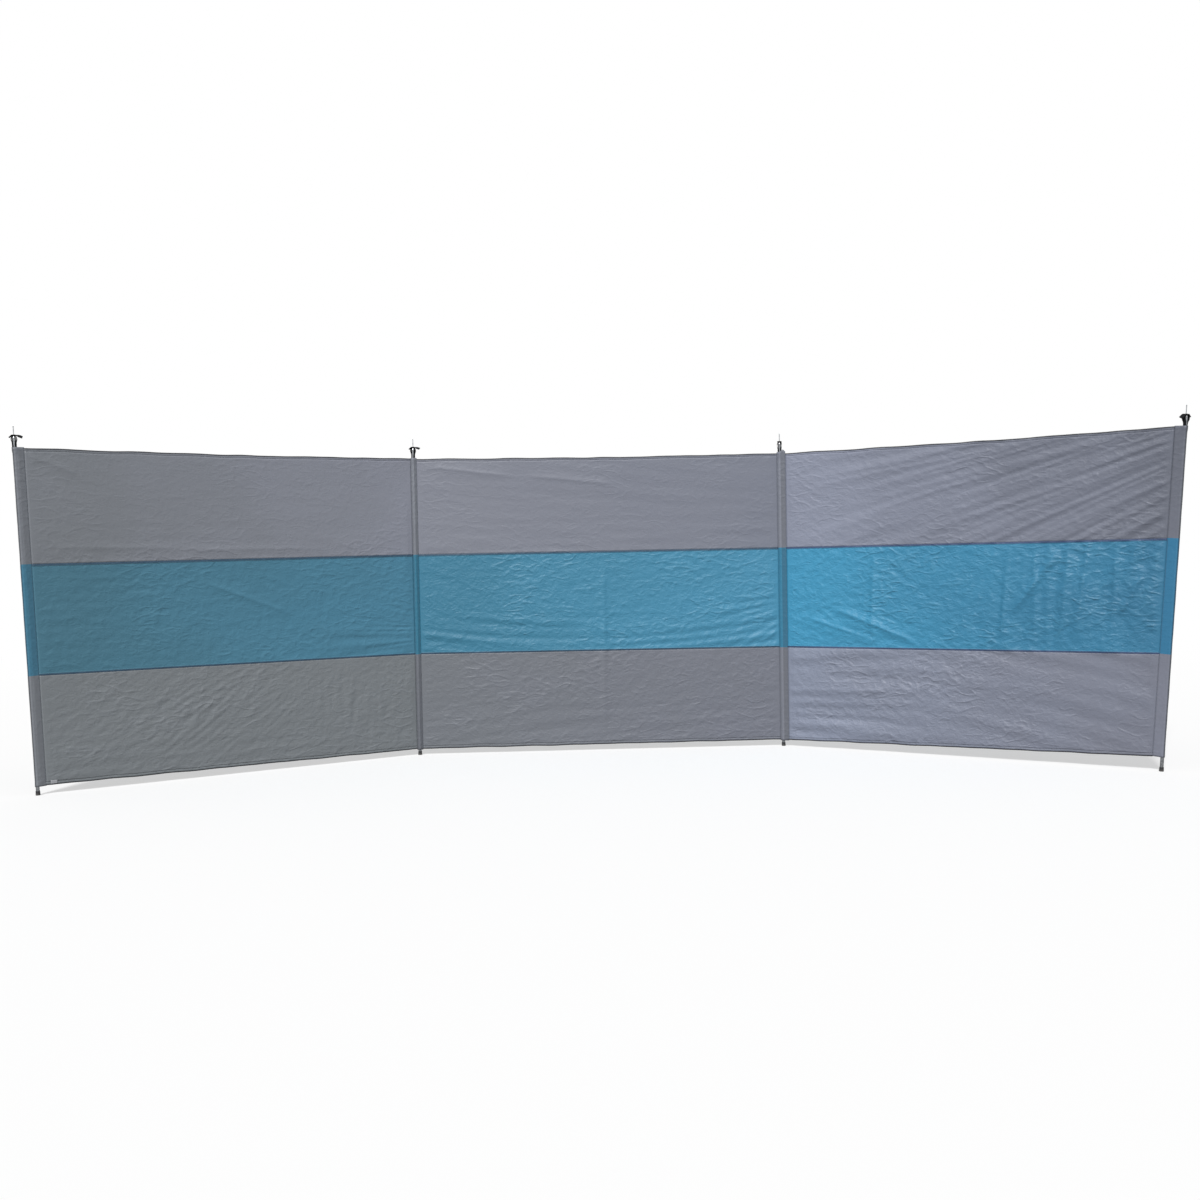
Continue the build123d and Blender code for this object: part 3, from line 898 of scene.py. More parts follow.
def flat_tube(radius, right_reach, left_reach):
    """Angles and radii round a pole, out of one flange's tip, over the front and back again.

    Angle 0 is the right flange, half a turn the left one. Points are evenly spaced."""
    angle = np.linspace(0, np.pi, 600)
    distance = np.full_like(angle, radius)
    for reach, away in ((right_reach, angle), (left_reach, np.pi - angle)):
        if reach:
            touch = np.arccos(radius / reach)
            distance = np.maximum(distance, radius / np.cos(np.clip(touch - away, 0, touch)))
    bend = np.hypot(np.diff(distance * np.cos(angle)), np.diff(distance * np.sin(angle)))
    run = np.concatenate([[0], np.cumsum(bend)])
    even = np.linspace(0, run[-1], SECTION_POINTS // 2 + 1)
    front = np.interp(even, run, angle), np.interp(even, run, distance)
    return (np.concatenate([front[0], 2 * np.pi - front[0][-2:0:-1]]),
            np.concatenate([front[1], front[1][-2:0:-1]]))


print("flat tube radii, mm:", np.round(1000 * flat_tube(SLEEVE_RADIUS, 0.024, 0.024)[1][:11], 1))

# %% [markdown]
# The inner sleeves join the cloth of two bays that meet at an angle, so each is bent about its pole between
# the two bays' directions. Every point keeps its distance from the pole's axis as it turns,
# and the sleeve never cuts into the pole. Loose cloth also wavers: its radius changes a
# little along the pole, and it crumples between the pole and the stitches.

# %% Sleeves
BEND_REACH = 0.010  # how far each side of the pole's axis the sleeve bends
neighbours = {
    place: (
        next((l for l, r in BAY_POLES.values() if r == place), None),
        next((r for l, r in BAY_POLES.values() if l == place), None),
    )
    for place in PLACES
}


def toward(place, other):
    """Unit direction from one pole to another, square to the first one's axis."""
    way = foot[other] - foot[place]
    return unit(way - (way @ up[place]) * up[place])


def sleeve_heights(place):
    """Rows up a sleeve, with one exactly on each seam, and the stripe each gap is in."""
    stops = (BOTTOM[place] - SLEEVE_DROP[place], LOWER_SEAM[place], UPPER_SEAM[place],
             TOP[place] + SLEEVE_RISE[place])
    gaps = list(zip(stops, stops[1:]))
    counts = [1 + int((b - a) / SLEEVE_STEP) for a, b in gaps]
    rows = [np.linspace(a, b, n + 1)[1:] for (a, b), n in zip(gaps, counts)]
    return np.concatenate([[stops[0]], *rows]), np.repeat([0, 1, 0], counts)


def sleeve_layer(place, heights, inset):
    """Points of a sleeve's outer side, or of its inner side when inset by the cloth.

    In its section a runs to the right of the pole's axis and b to the front."""
    left, right = neighbours[place]
    left_reach, right_reach = STITCH_INSET[place]
    seed = PLACES.index(place)
    rows = heights[:, None]
    reaches = (reach and reach - inset for reach in (right_reach, left_reach))
    angle, distance = flat_tube(SLEEVE_RADIUS - inset, *reaches)
    a, b = distance * np.cos(angle), distance * np.sin(angle)
    forward_side = np.sign(np.sin(angle))
    on_pole = ramp(distance, 2.2 * SLEEVE_RADIUS, SLEEVE_RADIUS)
    mouth = ramp(rows, heights[-1] - MOUTH_LENGTH, heights[-1] - 0.3 * MOUTH_LENGTH)
    foot_end = ramp(rows, heights[0] + MOUTH_LENGTH, heights[0])
    waver = np.clip(WAVER[0] + WAVER[1] * noise(rows / 0.09, np.sin(angle), 80 + seed), 0, 1)
    spare = mouth * (MOUTH_RADIUS - SLEEVE_RADIUS) + foot_end * FOOT_SPARE + waver
    grow = 1 + spare * on_pole / distance
    lifted = MOUTH_BULGE[place] * mouth * np.exp(-((a - BULGE_AT) / BULGE_REACH) ** 2)
    slack = np.abs(np.sin(angle)) ** 0.5 * ramp(distance, SLEEVE_RADIUS, 1.8 * SLEEVE_RADIUS)
    wrinkles = np.abs(ripples(a + forward_side, rows, 60, 0.06, 0.016, 90 + seed))
    wrinkled = WRINKLE_HEIGHT * slack * wrinkles
    tip = SLEEVE_TIP * (1 - on_pole) * np.minimum(1, np.abs(np.sin(angle)) * 30)
    a, b = a * grow, b * grow + forward_side * (wrinkled + tip)
    turned, reach = np.arctan2(b, a), np.hypot(a, b)
    e_right = toward(place, right) if right else -toward(place, left)
    e_front = unit(np.cross(e_right, up[place]))
    if left and right:
        fold = np.pi - np.arccos(np.clip(e_right @ toward(place, left), -1, 1))
        turned = turned - fold * ramp(-a, -BEND_REACH, BEND_REACH)
    centre = along_pole(place, rows + lifted)
    to_right, to_front = reach * np.cos(turned), reach * np.sin(turned)
    return centre + to_right[..., None] * e_right + to_front[..., None] * e_front


def painted_band_shade(place):
    """How much painted shade each point of a sleeve's section gets, from the soft-edged bands across it."""
    left_reach, right_reach = STITCH_INSET[place]
    angle, distance = flat_tube(SLEEVE_RADIUS, right_reach, left_reach)
    a = distance * np.cos(angle)
    return sum(
        dark * ramp(a, start - BAND_SOFTNESS, start) * (1 - ramp(a, stop, stop + BAND_SOFTNESS))
        for start, stop, dark in PAINTED_SHADE_BANDS[place]
    )


def closed_tube(name, outer, inner, materials, uv, row_material, **marks):
    """A tube with walls: outer rings, inner rings and a rim at each end."""
    rows, count = outer.shape[:2]
    number, ahead, wall = rings(rows, count)
    other = rows * count
    top = np.stack([number[-1], number[-1] + other, ahead[-1] + other, ahead[-1]], -1)
    low = np.stack([number[0], ahead[0], ahead[0] + other, number[0] + other], -1)
    outward, inward = wall[:, [0, 3, 2, 1]], wall[:, [1, 2, 3, 0]] + other
    per_face = np.repeat(row_material, count)
    face_material = np.concatenate([per_face, per_face, np.zeros(2 * count)])
    both = {mark: np.stack([values, values]) for mark, values in marks.items()}
    return make_mesh(name, np.stack([outer, inner]), np.concatenate([outward, inward, top, low]).tolist(),
                     materials, np.stack([uv, uv]), face_material, **both)


# %% Sleeves on the poles
sleeves = {}
for place in PLACES:
    heights, row_material = sleeve_heights(place)
    outer = sleeve_layer(place, heights, 0)
    inner = sleeve_layer(place, heights, SLEEVE_CLOTH)
    size = outer.shape[:2]
    girth = np.linspace(0, SLEEVE_GIRTH, size[1])
    uv = np.stack(np.broadcast_arrays(girth, heights[:, None]), -1)
    # the fold mark carries the sleeve's bands of painted shade
    piece = closed_tube(f"{place}_sewn_sleeve", outer, inner, sleeve_taffeta[place], uv, row_material,
                        crush=np.full(size, SLEEVE_CRUSH), fold=np.broadcast_to(painted_band_shade(place), size))
    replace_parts(piece, f"{place}_sleeve")
    sleeves[place] = piece
SWINGS = (  # pole, its pole on the middle bay, the body that swings, that body's pole
    ("left_inner", "right_inner", "left_bay", "left_end"),
    ("right_inner", "left_inner", "right_bay", "right_end"),
)
for place, fixed, swinging, away in SWINGS:
    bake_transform(sleeves[place])
for place in ("left_end", "right_end"):
    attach(sleeves[place], POLE_BODY[place])
print("sleeves:", count_triangles(sleeves.values()), "triangles")

# %% [markdown]
# ## Stitching
#
# Every hem, seam and sleeve is held by rows of thread. A stitch is a small spindle, and
# all the stitches of a bay are one mesh: the same few points carried to every place along
# the rows as whole arrays. Real stitches are about 3 mm long. These are drawn 5 mm long
# with thicker thread, so that they can be seen in a picture of the whole row.

# %% Thread
THREAD_RADIUS = 0.00032


def thread_material():
    """Spun polyester thread: matt, slightly fuzzy, a little darker than the cloth."""
    material, tree, surface_input = new_material("polyester_thread")
    place = add(tree, "TexCoord").outputs["Object"]
    fuzz = add(tree, "TexNoise", {"Scale": 900.0, "Detail": 2.0}, {"Vector": place}).outputs["Fac"]
    shade = add(tree, "Mix", {"data_type": "RGBA", MIX_A: colour("#535963"), MIX_B: colour("#686e78")},
                {0: fuzz}).outputs[MIX_OUT]
    bump = add(tree, "Bump", {"Distance": 0.0001}, {"Height": fuzz}).outputs["Normal"]
    add(tree, "BsdfPrincipled", {"Roughness": 0.75}, {"Base Color": shade, "Normal": bump}, surface_input)
    return material


thread = thread_material()
print("thread", 2000 * THREAD_RADIUS, "mm thick")

# %% One stitch, many times
STITCH_LENGTH = 0.0052
SPINDLE = ((-0.5, 0.0), (-0.36, 1.0), (0.36, 1.0), (0.5, 0.0))  # along, radius
SPINDLE_SIDES = 4


def spindles(centres, way, out):
    """Stitches at the centres. Each lies along way and stands half proud along out.

    A point is centre + along * way + radius * (cos(turn) * side + sin(turn) * out)."""
    way = unit(way)
    side = unit(np.cross(way, out))
    turn = np.linspace(0, 2 * np.pi, SPINDLE_SIDES, endpoint=False)
    turn = np.concatenate([[0], turn, turn, [0]])
    along, radius = np.repeat(SPINDLE, (1, SPINDLE_SIDES, SPINDLE_SIDES, 1), axis=0).T
    radius = radius * THREAD_RADIUS
    local = np.stack([along * STITCH_LENGTH, radius * np.cos(turn), radius * np.sin(turn)], -1)
    return centres[:, None] + local @ np.stack([way, side, np.cross(side, way)], 1)


def spindle_faces(count):
    """Triangles at both tips and quads between the rings, repeated for every stitch."""
    n = SPINDLE_SIDES
    i, j = np.arange(n), (np.arange(n) + 1) % n
    tip, first, second, end = 0, 1, 1 + n, 1 + 2 * n
    start_cap = np.stack([np.full(n, tip), first + j, first + i], -1)
    end_cap = np.stack([np.full(n, end), second + i, second + j], -1)
    sides = np.stack([first + i, first + j, second + j, second + i], -1)
    offset = (np.arange(count) * (2 * n + 2))[:, None, None]
    triangles = (np.concatenate([start_cap, end_cap])[None] + offset).reshape(-1, 3)
    squares = (sides[None] + offset).reshape(-1, 4)
    return triangles.tolist() + squares.tolist()


print("faces of one stitch:", len(spindle_faces(1)))

# %% Rows of stitches
STITCH_PITCH = 0.0070
THREAD_SUNK = 0.00005  # how deep a stitch's middle lies in the cloth
FLANGE_INSET = 0.0035  # a sleeve's stitches lie this far in from the flange's edge
FLANGE_HALF = 0.0006
ROW_START, ROW_STOP = 0.006, 0.002


def stitch_row(bay, line, front_side):
    """Centres, directions and outward ways of one row of stitches along a line of the bay."""
    left, right = BAY_POLES[bay]
    share = bay_shares(bay, STITCH_PITCH, tuck=-0.001)
    points, _ = surface(bay, share, np.full_like(share, line[left]), np.full_like(share, line[right]))
    out = (1 if front_side else -1) * bay_front[bay]
    way = np.gradient(points, axis=0)
    return points + out * (FOLD_THICKNESS / 2 - THREAD_SUNK), way, np.broadcast_to(out, points.shape)


def sleeve_row(place, side, bay, front_side):
    """One row of stitches up a sleeve's flange, on its left (0) or right (1) side."""
    edge = STITCH_INSET[place][side]
    heights = np.arange(BOTTOM[place] + ROW_START, TOP[place] - ROW_STOP, STITCH_PITCH)
    points = along_pole(place, heights) + (edge - FLANGE_INSET) * toward(place, neighbours[place][side])
    out = (1 if front_side else -1) * bay_front[bay]
    taper = FLANGE_INSET * SLEEVE_RADIUS / np.sqrt(edge**2 - SLEEVE_RADIUS**2) + FLANGE_HALF
    return points + out * taper, np.broadcast_to(up[place], points.shape), np.broadcast_to(out, points.shape)


HEM_STITCH, SEAM_STITCH, LAP_STITCH = 0.0025, 0.0015, 0.002  # in from the edges of hem and seam
STITCH_LINES = (
    shifted(BOTTOM, HEM_HEIGHT - HEM_STITCH),
    shifted(TOP, HEM_STITCH - HEM_HEIGHT),
    shifted(LOWER_SEAM, SEAM_STITCH),
    shifted(LOWER_SEAM, SEAM_HEIGHT - LAP_STITCH),
    shifted(UPPER_SEAM, -SEAM_STITCH),
    shifted(UPPER_SEAM, LAP_STITCH - SEAM_HEIGHT),
)
for bay, (left, right) in BAY_POLES.items():
    runs = [stitch_row(bay, line, side) for line in STITCH_LINES for side in (True, False)]
    runs += [sleeve_row(left, 1, bay, side) for side in (True, False)]
    runs += [sleeve_row(right, 0, bay, side) for side in (True, False)]
    centres, ways, outs = (np.concatenate(values) for values in zip(*runs))
    vertices = spindles(centres, ways, outs)
    piece = make_mesh(f"{bay}_stitching", vertices, spindle_faces(len(centres)), [thread], smooth=False)
    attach(piece, BAY_BODY[bay])

# %% [markdown]
# ## The cloth's flat sizes
#
# Each stripe's flat size is its cut before sewing: its length between the sleeves and its height between the
# folds. Both are worked out here for every stripe.

# %% Sheets
for (bay, stripe), piece in cloth.items():
    lower, upper = STRIPES[stripe][:2]
    left, right = BAY_POLES[bay]
    flat_height = (upper[left] + upper[right] - lower[left] - lower[right]) / 2
    ends = [along_pole(place, lower[place] + flat_height / 2) for place in (left, right)]
    flat_width = float(np.linalg.norm(ends[1] - ends[0]))
    flat_width -= STITCH_INSET[left][1] + STITCH_INSET[right][0]
print("sheets:", len(cloth) + len(sleeves))

# %% [markdown]
# ## Webbing loops and pull tabs
#
# Black polypropylene webbing, woven with ribs across it, holds the cloth up: a loop goes
# over the top of each pole, and a doubled tab lies on it to pull it off by. Webbing is a
# ribbon: a rounded strip carried along a path. The ends of the loop's legs curl round the
# pole, because the sleeve they are sewn into is round there.

# %% Webbing material
RIB_PITCH = 0.0016  # real ribs are 0.9 mm apart, drawn coarser so that they show


def webbing_material():
    """Polypropylene webbing: ribbed and matt, nearly black, greyed by dust."""
    material, tree, surface_input = new_material("polypropylene_webbing")
    uv = add(tree, "UVMap", {"uv_map": "cloth"}).outputs["UV"]
    ribs, lanes = (
        add(tree, "TexWave", {"bands_direction": way, "Scale": WAVE_SCALE / RIB_PITCH / apart},
            {"Vector": uv}).outputs["Fac"]
        for way, apart in (("X", 1.0), ("Y", 1.4))
    )
    woven = add(tree, "Math", {"operation": "MULTIPLY"}, {0: ribs, 1: lanes}).outputs[0]
    place = add(tree, "TexCoord").outputs["Object"]
    dust = add(tree, "TexNoise", {"Scale": 140.0, "Detail": 4.0}, {"Vector": place}).outputs["Fac"]
    dusty = add(tree, "MapRange", {"From Min": 0.5, "From Max": 0.75, "To Max": 0.2},
                {"Value": dust}).outputs["Result"]
    base = add(tree, "Mix", {"data_type": "RGBA", MIX_A: colour("#0d0e10"), MIX_B: colour("#1e2023")},
               {0: woven}).outputs[MIX_OUT]
    body = add(tree, "Mix", {"data_type": "RGBA", MIX_B: colour("#3a3c40")},
               {0: dusty, MIX_A: base}).outputs[MIX_OUT]
    bump = add(tree, "Bump", {"Distance": 0.0003}, {"Height": woven}).outputs["Normal"]
    add(tree, "BsdfPrincipled", {"Roughness": 0.9, "Specular IOR Level": 0.2},
        {"Base Color": body, "Normal": bump}, surface_input)
    return material


webbing = webbing_material()
print("ribs", 1000 * RIB_PITCH, "mm apart")

# %% Ribbons
WEBBING_WIDTH = 0.020
WEBBING_THICK = 0.0015
RIBBON_SIDE = 9  # points across each face of a ribbon


def even_path(points, spacing):
    """The same path with even points, and how far along it each point is."""
    run = np.concatenate([[0], np.cumsum(np.linalg.norm(np.diff(points, axis=0), axis=1))])
    even = np.linspace(0, run[-1], 1 + int(run[-1] / spacing))
    return np.stack([np.interp(even, run, column) for column in points.T], -1), even


def smooth_path(corners, radii, spacing=0.0008):
    """Even points along straight runs whose corners are rounded by arcs, one radius each."""
    corners = np.asarray(corners, float)
    points = [corners[0]]
    for before, corner, after, radius in zip(corners, corners[1:], corners[2:], radii):
        arriving, leaving = unit(corner - before), unit(after - corner)
        half_turn = np.arccos(np.clip(arriving @ leaving, -1, 1)) / 2
        cut = radius * np.tan(half_turn)
        centre = corner + unit(leaving - arriving) * radius / np.cos(half_turn)
        start, stop = corner - arriving * cut - centre, corner + leaving * cut - centre
        t = np.linspace(0, 1, 9)[:, None]
        sweep = 2 * half_turn
        points.extend(centre + (np.sin((1 - t) * sweep) * start + np.sin(t * sweep) * stop) / np.sin(sweep))
    points.append(corners[-1])
    return even_path(np.array(points), spacing)


def left_normals(path):
    """Unit normals on the left of a path in a plane."""
    way = unit(np.gradient(path, axis=0))
    return np.stack([-way[:, 1], way[:, 0]], -1)


TAB_SIDE = {  # the pole toward which a loop that hasn't slipped round turns its tab
    "left_end": "left_inner",
    "left_inner": "right_inner",
    "right_inner": "left_inner",
    "right_end": "right_inner",
}


def ribbon(name, place, path, run, width, thickness, turn, curl=None, spine=None, twist=0.0):
    """A strip with rounded edges along a path in an upright plane through the pole.

    The path's columns are the distance from the pole's axis and the height along it. Curl
    is how far the strip wraps round the pole at each point. With a spine, the strip is
    twisted about that line by degrees that grow from its last bend to its end."""
    normal = left_normals(path)
    across = np.linspace(-1, 1, RIBBON_SIDE)
    half = thickness / 2 * np.sqrt(np.clip(1 - np.abs(across) ** 6, 0.12, 1))
    offset = np.concatenate([half, -half[::-1]])
    a = path[:, 0:1] + normal[:, 0:1] * offset
    h = path[:, 1:2] + normal[:, 1:2] * offset
    b = np.broadcast_to(np.concatenate([across, across[::-1]]) * width / 2, a.shape)
    if curl is not None:
        bend = b / np.abs(path[:, 0:1])
        around = np.abs(a) * np.cos(bend), np.abs(a) * np.sin(bend)
        a, b = a + curl[:, None] * (np.sign(a) * around[0] - a), b + curl[:, None] * (around[1] - b)
    if spine is not None:
        line = np.interp(a, spine[:, 0], spine[:, 1])
        angle = np.radians(twist) * ramp(a, 0.1 * spine[-1, 0], 0.7 * spine[-1, 0])
        over = h - line
        b, h = (b * np.cos(angle) - over * np.sin(angle),
                line + over * np.cos(angle) + b * np.sin(angle))
    e_in = toward(place, TAB_SIDE[place])
    e_side = unit(np.cross(up[place], e_in))
    c, s = np.cos(np.radians(turn)), np.sin(np.radians(turn))
    e_a, e_b = e_in * c + e_side * s, e_side * c - e_in * s
    grid = foot[place] + a[..., None] * e_a + b[..., None] * e_b + h[..., None] * up[place]
    number, _, wall = rings(*a.shape)
    ends = [number[0, ::-1].tolist(), number[-1].tolist()]
    uv = np.stack([np.broadcast_to(run[:, None], a.shape), b], -1)
    piece = make_mesh(name, grid, wall.tolist() + ends, [webbing], uv)
    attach(piece, POLE_BODY[place])
    return piece


# %% [markdown]
# The loop goes up one side of the pole, bellies out beside the plug's cone and closes over
# it. The tab is one strip laid double: out along its underside, back round a tight fold
# at its drooping end, and home along the top. Every loop has slipped round its pole by
# some angle, so each one shows the camera a different side.

# %% Loops and tabs on the poles
CROWN = 1.3936  # underside of the loop over the plug's head
LOOP_FOOT, LOOP_BELLY, LOOP_SHOULDER = 0.00805, 0.0105, 0.0064
LOOP_LEG, BELLY_DROP = 0.017, 0.012
LOOP_BEND_RADII = (0.030, 0.015, 0.0024, 0.0024, 0.015, 0.030)
LEG_BELOW_RIM = 0.014
CURL_START, CURL_END = 1.378, 1.356
TAB_LAYER = 0.0013
TAB_BACK = 0.014
TAB_BACK_DROOP = {"left_end": 42, "left_inner": 40, "right_inner": 40, "right_end": 50}
TAB_FLAT_BACK = 0.009
TAB_REACH = 0.0245
TAB_DROOP = {"left_end": 22, "left_inner": 18, "right_inner": 24, "right_end": 40}
TAB_BEND_AT = {"left_end": 0.007, "left_inner": 0.007, "right_inner": 0.0115, "right_end": 0.007}
TAB_BEND_RADII = (0.004, 0.004)
TAB_TWIST = {"left_end": 30, "left_inner": 26, "right_inner": 0, "right_end": -25}
TAB_NARROWER = 0.001
HEAD_TURN = {"left_end": -18, "left_inner": -12, "right_inner": -12, "right_end": 55}


def loop(place):
    """Webbing loop: two legs that belly out, with a narrow crown between them."""
    crown = CROWN + WEBBING_THICK / 2
    right = [
        (LOOP_SHOULDER, crown),
        (LOOP_BELLY, crown - BELLY_DROP),
        (LOOP_FOOT, TOP[place] + LOOP_LEG),
        (LOOP_FOOT, TOP[place] - LEG_BELOW_RIM),
    ]
    left = [(-a, h) for a, h in right[::-1]]
    path, run = smooth_path(left + right, LOOP_BEND_RADII)
    curl = ramp(path[:, 1], CURL_START, CURL_END)
    return ribbon(f"{place}_loop", place, path, run, WEBBING_WIDTH, WEBBING_THICK, HEAD_TURN[place], curl)


def tab(place):
    """Pull tab: a strip laid double over the crown and drooping beyond its bends."""
    across = place == "right_inner"
    droop, back_droop = np.radians([TAB_DROOP[place], TAB_BACK_DROOP[place]])
    bend = TAB_BEND_AT[place]
    tip = (bend + TAB_REACH * np.cos(droop), -TAB_REACH * np.sin(droop))
    back_tip = (-bend - TAB_BACK * np.cos(back_droop), -TAB_BACK * np.sin(back_droop))
    back = [(-TAB_FLAT_BACK, 0)] if across else [back_tip, (-bend, 0)]
    middle, _ = smooth_path(back + [(bend, 0), tip], TAB_BEND_RADII, spacing=0.0005)
    middle = middle + (0, CROWN + WEBBING_THICK + TAB_LAYER)
    side = left_normals(middle) * TAB_LAYER / 2
    half_turn = np.linspace(-np.pi / 2, np.pi / 2, 7)[1:-1, None]
    outward = unit(middle[-1] - middle[-2]) * TAB_LAYER / 2
    fold = middle[-1] + np.cos(half_turn) * outward + np.sin(half_turn) * side[-1]
    path, run = even_path(np.concatenate([middle - side, fold, (middle + side)[::-1]]), 0.0004)
    turn = HEAD_TURN[place] - (90 if across else 0)
    return ribbon(f"{place}_tab", place, path, run, WEBBING_WIDTH - TAB_NARROWER, TAB_LAYER, turn,
                  spine=middle, twist=TAB_TWIST[place])


for place in PLACES:
    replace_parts(loop(place), f"{place}_strap")
    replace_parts(tab(place), f"{place}_pull_tab")
webbing_pieces = [bpy.data.objects[f"{place}_{kind}"] for place in PLACES for kind in ("loop", "tab")]
print("webbing:", count_triangles(webbing_pieces), "triangles")

# %% [markdown]
# A small blank tag of white ribbon is sewn into the bottom hem beside the left end pole.
# It lies a little in front of the cloth's own surface.

# %% Tag
TAG_FROM_POLE = (0.049, 0.074)
TAG_ABOVE_EDGE = (0.004, 0.018)
TAG_PROUD, TAG_THICKNESS, TAG_CRUSH = 0.0016, 0.0004, 0.2
tag_share = np.linspace(*TAG_FROM_POLE, 8)[None, :] / bay_width["left"]
tag_rise = np.linspace(*TAG_ABOVE_EDGE, 6)[:, None]
tag_grid, _ = surface("left", tag_share, BOTTOM["left_end"] + tag_rise, BOTTOM["left_inner"] + tag_rise)
tag_grid = tag_grid + TAG_PROUD * bay_front["left"]
tag_uv = np.stack(np.broadcast_arrays(tag_share * bay_width["left"], tag_rise), -1)
tag_ribbon = taffeta("white_ribbon", "#a4a6ab", "#9da0a5", "#b8babf", GREY_PAINTED_SHADE, along="Y")
tag = shell("left_blank_tag", tag_grid, TAG_THICKNESS, [tag_ribbon], tag_uv,
            crush=np.full(tag_grid.shape[:2], TAG_CRUSH))
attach(tag, "left_bay")
print("tag:", count_triangles([tag]), "triangles")

# %% [markdown]
# ## Steel, plastic and the pieces that stay
#
# Poles, caps, spikes and eyelets keep the frame's own meshes. The tubes are drawn steel
# with a thin zinc coat: grey rather than mirror bright, with fine lines along the tube and
# duller patches. The caps are black polyethylene, scuffed where they meet the ground.

# %% Metal and plastic
def zinc_steel(name, bright_hex, dull_hex, rough):
    """Zinc-plated drawn steel: lines along the draw, a few millimetres of dull mottling."""
    material, tree, surface_input = new_material(name)
    place = add(tree, "TexCoord").outputs["Object"]
    drawn = add(tree, "Mapping", {"Scale": (900, 900, 6)}, {"Vector": place}).outputs["Vector"]
    lines = add(tree, "TexNoise", {"Scale": 1.0, "Detail": 3.0}, {"Vector": drawn}).outputs["Fac"]
    spots = add(tree, "TexNoise", {"Scale": 120.0, "Detail": 5.0, "Roughness": 0.6},
                {"Vector": place}).outputs["Fac"]
    dull = add(tree, "MapRange", {"From Min": 0.42, "From Max": 0.66}, {"Value": spots}).outputs["Result"]
    tone = add(tree, "Mix", {"data_type": "RGBA", MIX_A: colour(bright_hex), MIX_B: colour(dull_hex)},
               {0: dull}).outputs[MIX_OUT]
    gloss = add(tree, "MapRange", {"To Min": rough - 0.08, "To Max": rough + 0.14},
                {"Value": lines}).outputs["Result"]
    bump = add(tree, "Bump", {"Distance": 0.00004}, {"Height": lines}).outputs["Normal"]
    add(tree, "BsdfPrincipled", {"Metallic": 1.0},
        {"Base Color": tone, "Roughness": gloss, "Normal": bump}, surface_input)
    return material


def polyethylene_cap():
    """Moulded black polyethylene: waxy, with grey scuffs toward the rim on the ground."""
    material, tree, surface_input = new_material("black_polyethylene")
    place = add(tree, "TexCoord").outputs["Object"]
    grain = add(tree, "TexNoise", {"Scale": 700.0, "Detail": 3.0}, {"Vector": place}).outputs["Fac"]
    height = add(tree, "SeparateXYZ", {}, {"Vector": place}).outputs["Z"]
    low = add(tree, "MapRange", {"From Min": 0.010, "From Max": 0.0}, {"Value": height}).outputs["Result"]
    scuff = add(tree, "TexNoise", {"Scale": 260.0, "Detail": 5.0}, {"Vector": place}).outputs["Fac"]
    scuffed = add(tree, "Math", {"operation": "MULTIPLY"}, {0: low, 1: scuff}).outputs[0]
    tone = add(tree, "Mix", {"data_type": "RGBA", MIX_A: colour("#2c2d2f"), MIX_B: colour("#77736c")},
               {0: scuffed}).outputs[MIX_OUT]
    bump = add(tree, "Bump", {"Distance": 0.00015}, {"Height": grain}).outputs["Normal"]
    add(tree, "BsdfPrincipled", {"Roughness": 0.5}, {"Base Color": tone, "Normal": bump}, surface_input)
    return material


finishes = {
    "pole": zinc_steel("zinc_plated_tube", "#a6a9ac", "#85888b", 0.34),
    "spike": zinc_steel("bright_steel_spike", "#c3c5c7", "#9b9ea1", 0.28),
    "eyelet": zinc_steel("nickelled_eyelet", "#b9b6ae", "#96938b", 0.24),
    "foot_cap": polyethylene_cap(),
}
for place in PLACES:
    for piece_name, finish in finishes.items():
        node = frame["nodes"][f"{place}_{piece_name}"]
        for i in range(len(node.material_slots)):
            node.material_slots[i].material = finish
print("finished:", list(finishes))

# %% [markdown]
# ## Studio
#
# The floor is pale and matt and keeps the windbreak's shadow. To the camera it turns to
# white paper with distance, so that it has no edge. One soft sun lamp stands in for the
# sky's brighter side, high up in front and to the left, where it rakes the cloth and shows
# its creases. The world adds plain light from everywhere. To the camera, and in the
# reflections on the tubes, the world is plain white.

# %% Floor
FLOOR_HALF = 40.0
FADE_START, FADE_STOP = 3.2, 9.0
PAPER_SHARE = 0.45  # how much of the floor beside the windbreak is white paper lit from behind
corners = np.array([[-1, -1, 0], [1, -1, 0], [1, 1, 0], [-1, 1, 0]]) * FLOOR_HALF
floor_material, tree, surface_input = new_material("matt_floor")
camera_ray = add(tree, "LightPath").outputs["Is Camera Ray"]
pale = add(tree, "Mix", {"data_type": "RGBA", MIX_A: colour("#a6a6a6"), MIX_B: colour("#fbfbfb")},
           {0: camera_ray}).outputs[MIX_OUT]
matt = add(tree, "BsdfDiffuse", {}, {"Color": pale}).outputs["BSDF"]
paper = add(tree, "Emission", {"Color": colour("#ffffff"), "Strength": 1.0}).outputs["Emission"]
spot = add(tree, "TexCoord").outputs["Object"]
away = add(tree, "VectorMath", {"operation": "LENGTH"}, {0: spot}).outputs["Value"]
faded = add(tree, "MapRange", {"interpolation_type": "SMOOTHSTEP", "From Min": FADE_START,
                               "From Max": FADE_STOP, "To Min": PAPER_SHARE},
            {"Value": away}).outputs["Result"]
faded = add(tree, "Math", {"operation": "MULTIPLY"}, {0: faded, 1: camera_ray}).outputs[0]
add(tree, "MixShader", {}, {0: faded, 1: matt, 2: paper}, surface_input)
floor = make_mesh("floor", corners, [[0, 1, 2, 3]], [floor_material])
print("floor", 2 * FLOOR_HALF, "m wide")

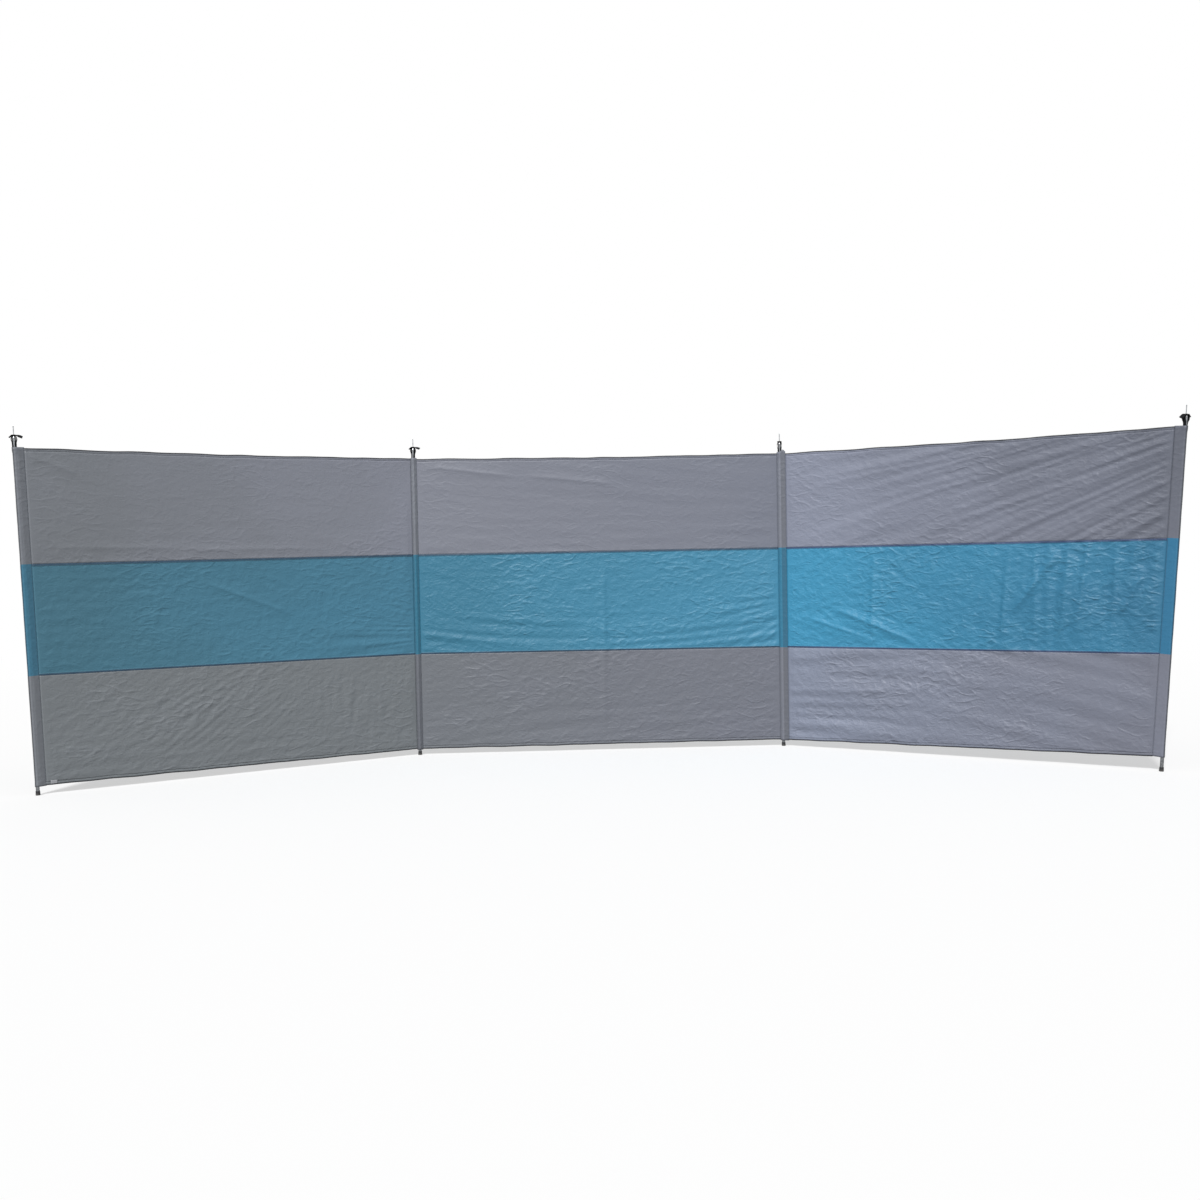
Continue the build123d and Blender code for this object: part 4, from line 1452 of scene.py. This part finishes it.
# %% Lamp
LAMP_STRENGTH = 2.8
LAMP_SOFTNESS = 10
LAMP_HEIGHT_ANGLE = 42
LAMP_SIDE_ANGLE = 18
lamp = bpy.data.objects.new("soft_lamp", bpy.data.lights.new("soft_lamp", "SUN"))
lamp.data.energy = LAMP_STRENGTH
lamp.data.angle = np.radians(LAMP_SOFTNESS)
lamp.rotation_euler = (np.radians(90 - LAMP_HEIGHT_ANGLE), 0, -np.radians(LAMP_SIDE_ANGLE))
bpy.context.scene.collection.objects.link(lamp)
print("lamp from", LAMP_HEIGHT_ANGLE, "degrees up and", LAMP_SIDE_ANGLE, "to the left")

# %% World
SKY_LEVEL = 0.42
world = bpy.data.worlds.new("plain_sky")
world.use_nodes = True
bpy.context.scene.world = world
tree = world.node_tree
tree.nodes.clear()
ray = add(tree, "LightPath").outputs
seen = ray["Is Camera Ray"]
for other_ray in ("Is Glossy Ray", "Is Transmission Ray"):
    seen = add(tree, "Math", {"operation": "MAXIMUM"}, {0: seen, 1: ray[other_ray]}).outputs[0]
level = add(tree, "MapRange", {"To Min": SKY_LEVEL, "To Max": 1.0}, {"Value": seen}).outputs["Result"]
sky = add(tree, "Background", {"Color": colour("#ffffff")}, {"Strength": level})
tree.links.new(sky.outputs["Background"], add(tree, "OutputWorld").inputs["Surface"])
print("sky level", SKY_LEVEL)

# %% [markdown]
# ## Camera
#
# The camera stands at eye level for someone kneeling, a little left of the middle. Its
# place and lens were found by fitting the eight ends of the poles to the photograph.

# %% Camera
CAMERA_AT = (-0.2210, -5.4655, 0.889)
YAW, PITCH, ROLL = 2.294, -1.928, -1.089
FOCAL_PIXELS, IMAGE_PIXELS, SENSOR = 1305.343, 1200, 36.0
yaw, pitch, roll = np.radians([YAW, PITCH, ROLL])
forward = np.array([np.sin(yaw) * np.cos(pitch), np.cos(yaw) * np.cos(pitch), np.sin(pitch)])
level_right = unit(np.cross(forward, [0, 0, 1]))
level_up = np.cross(level_right, forward)
right_way = np.cos(roll) * level_right + np.sin(roll) * level_up
up_way = np.cos(roll) * level_up - np.sin(roll) * level_right
camera = bpy.data.objects.new("camera", bpy.data.cameras.new("camera"))
camera.data.sensor_width = SENSOR
camera.data.lens = SENSOR * FOCAL_PIXELS / IMAGE_PIXELS
turned = Matrix(np.stack([right_way, up_way, -forward], -1)).to_4x4()
camera.matrix_world = Matrix.Translation(CAMERA_AT) @ turned
bpy.context.scene.collection.objects.link(camera)
bpy.context.scene.camera = camera
bpy.context.scene.view_settings.view_transform = "Standard"
print("lens", round(camera.data.lens, 2), "mm")
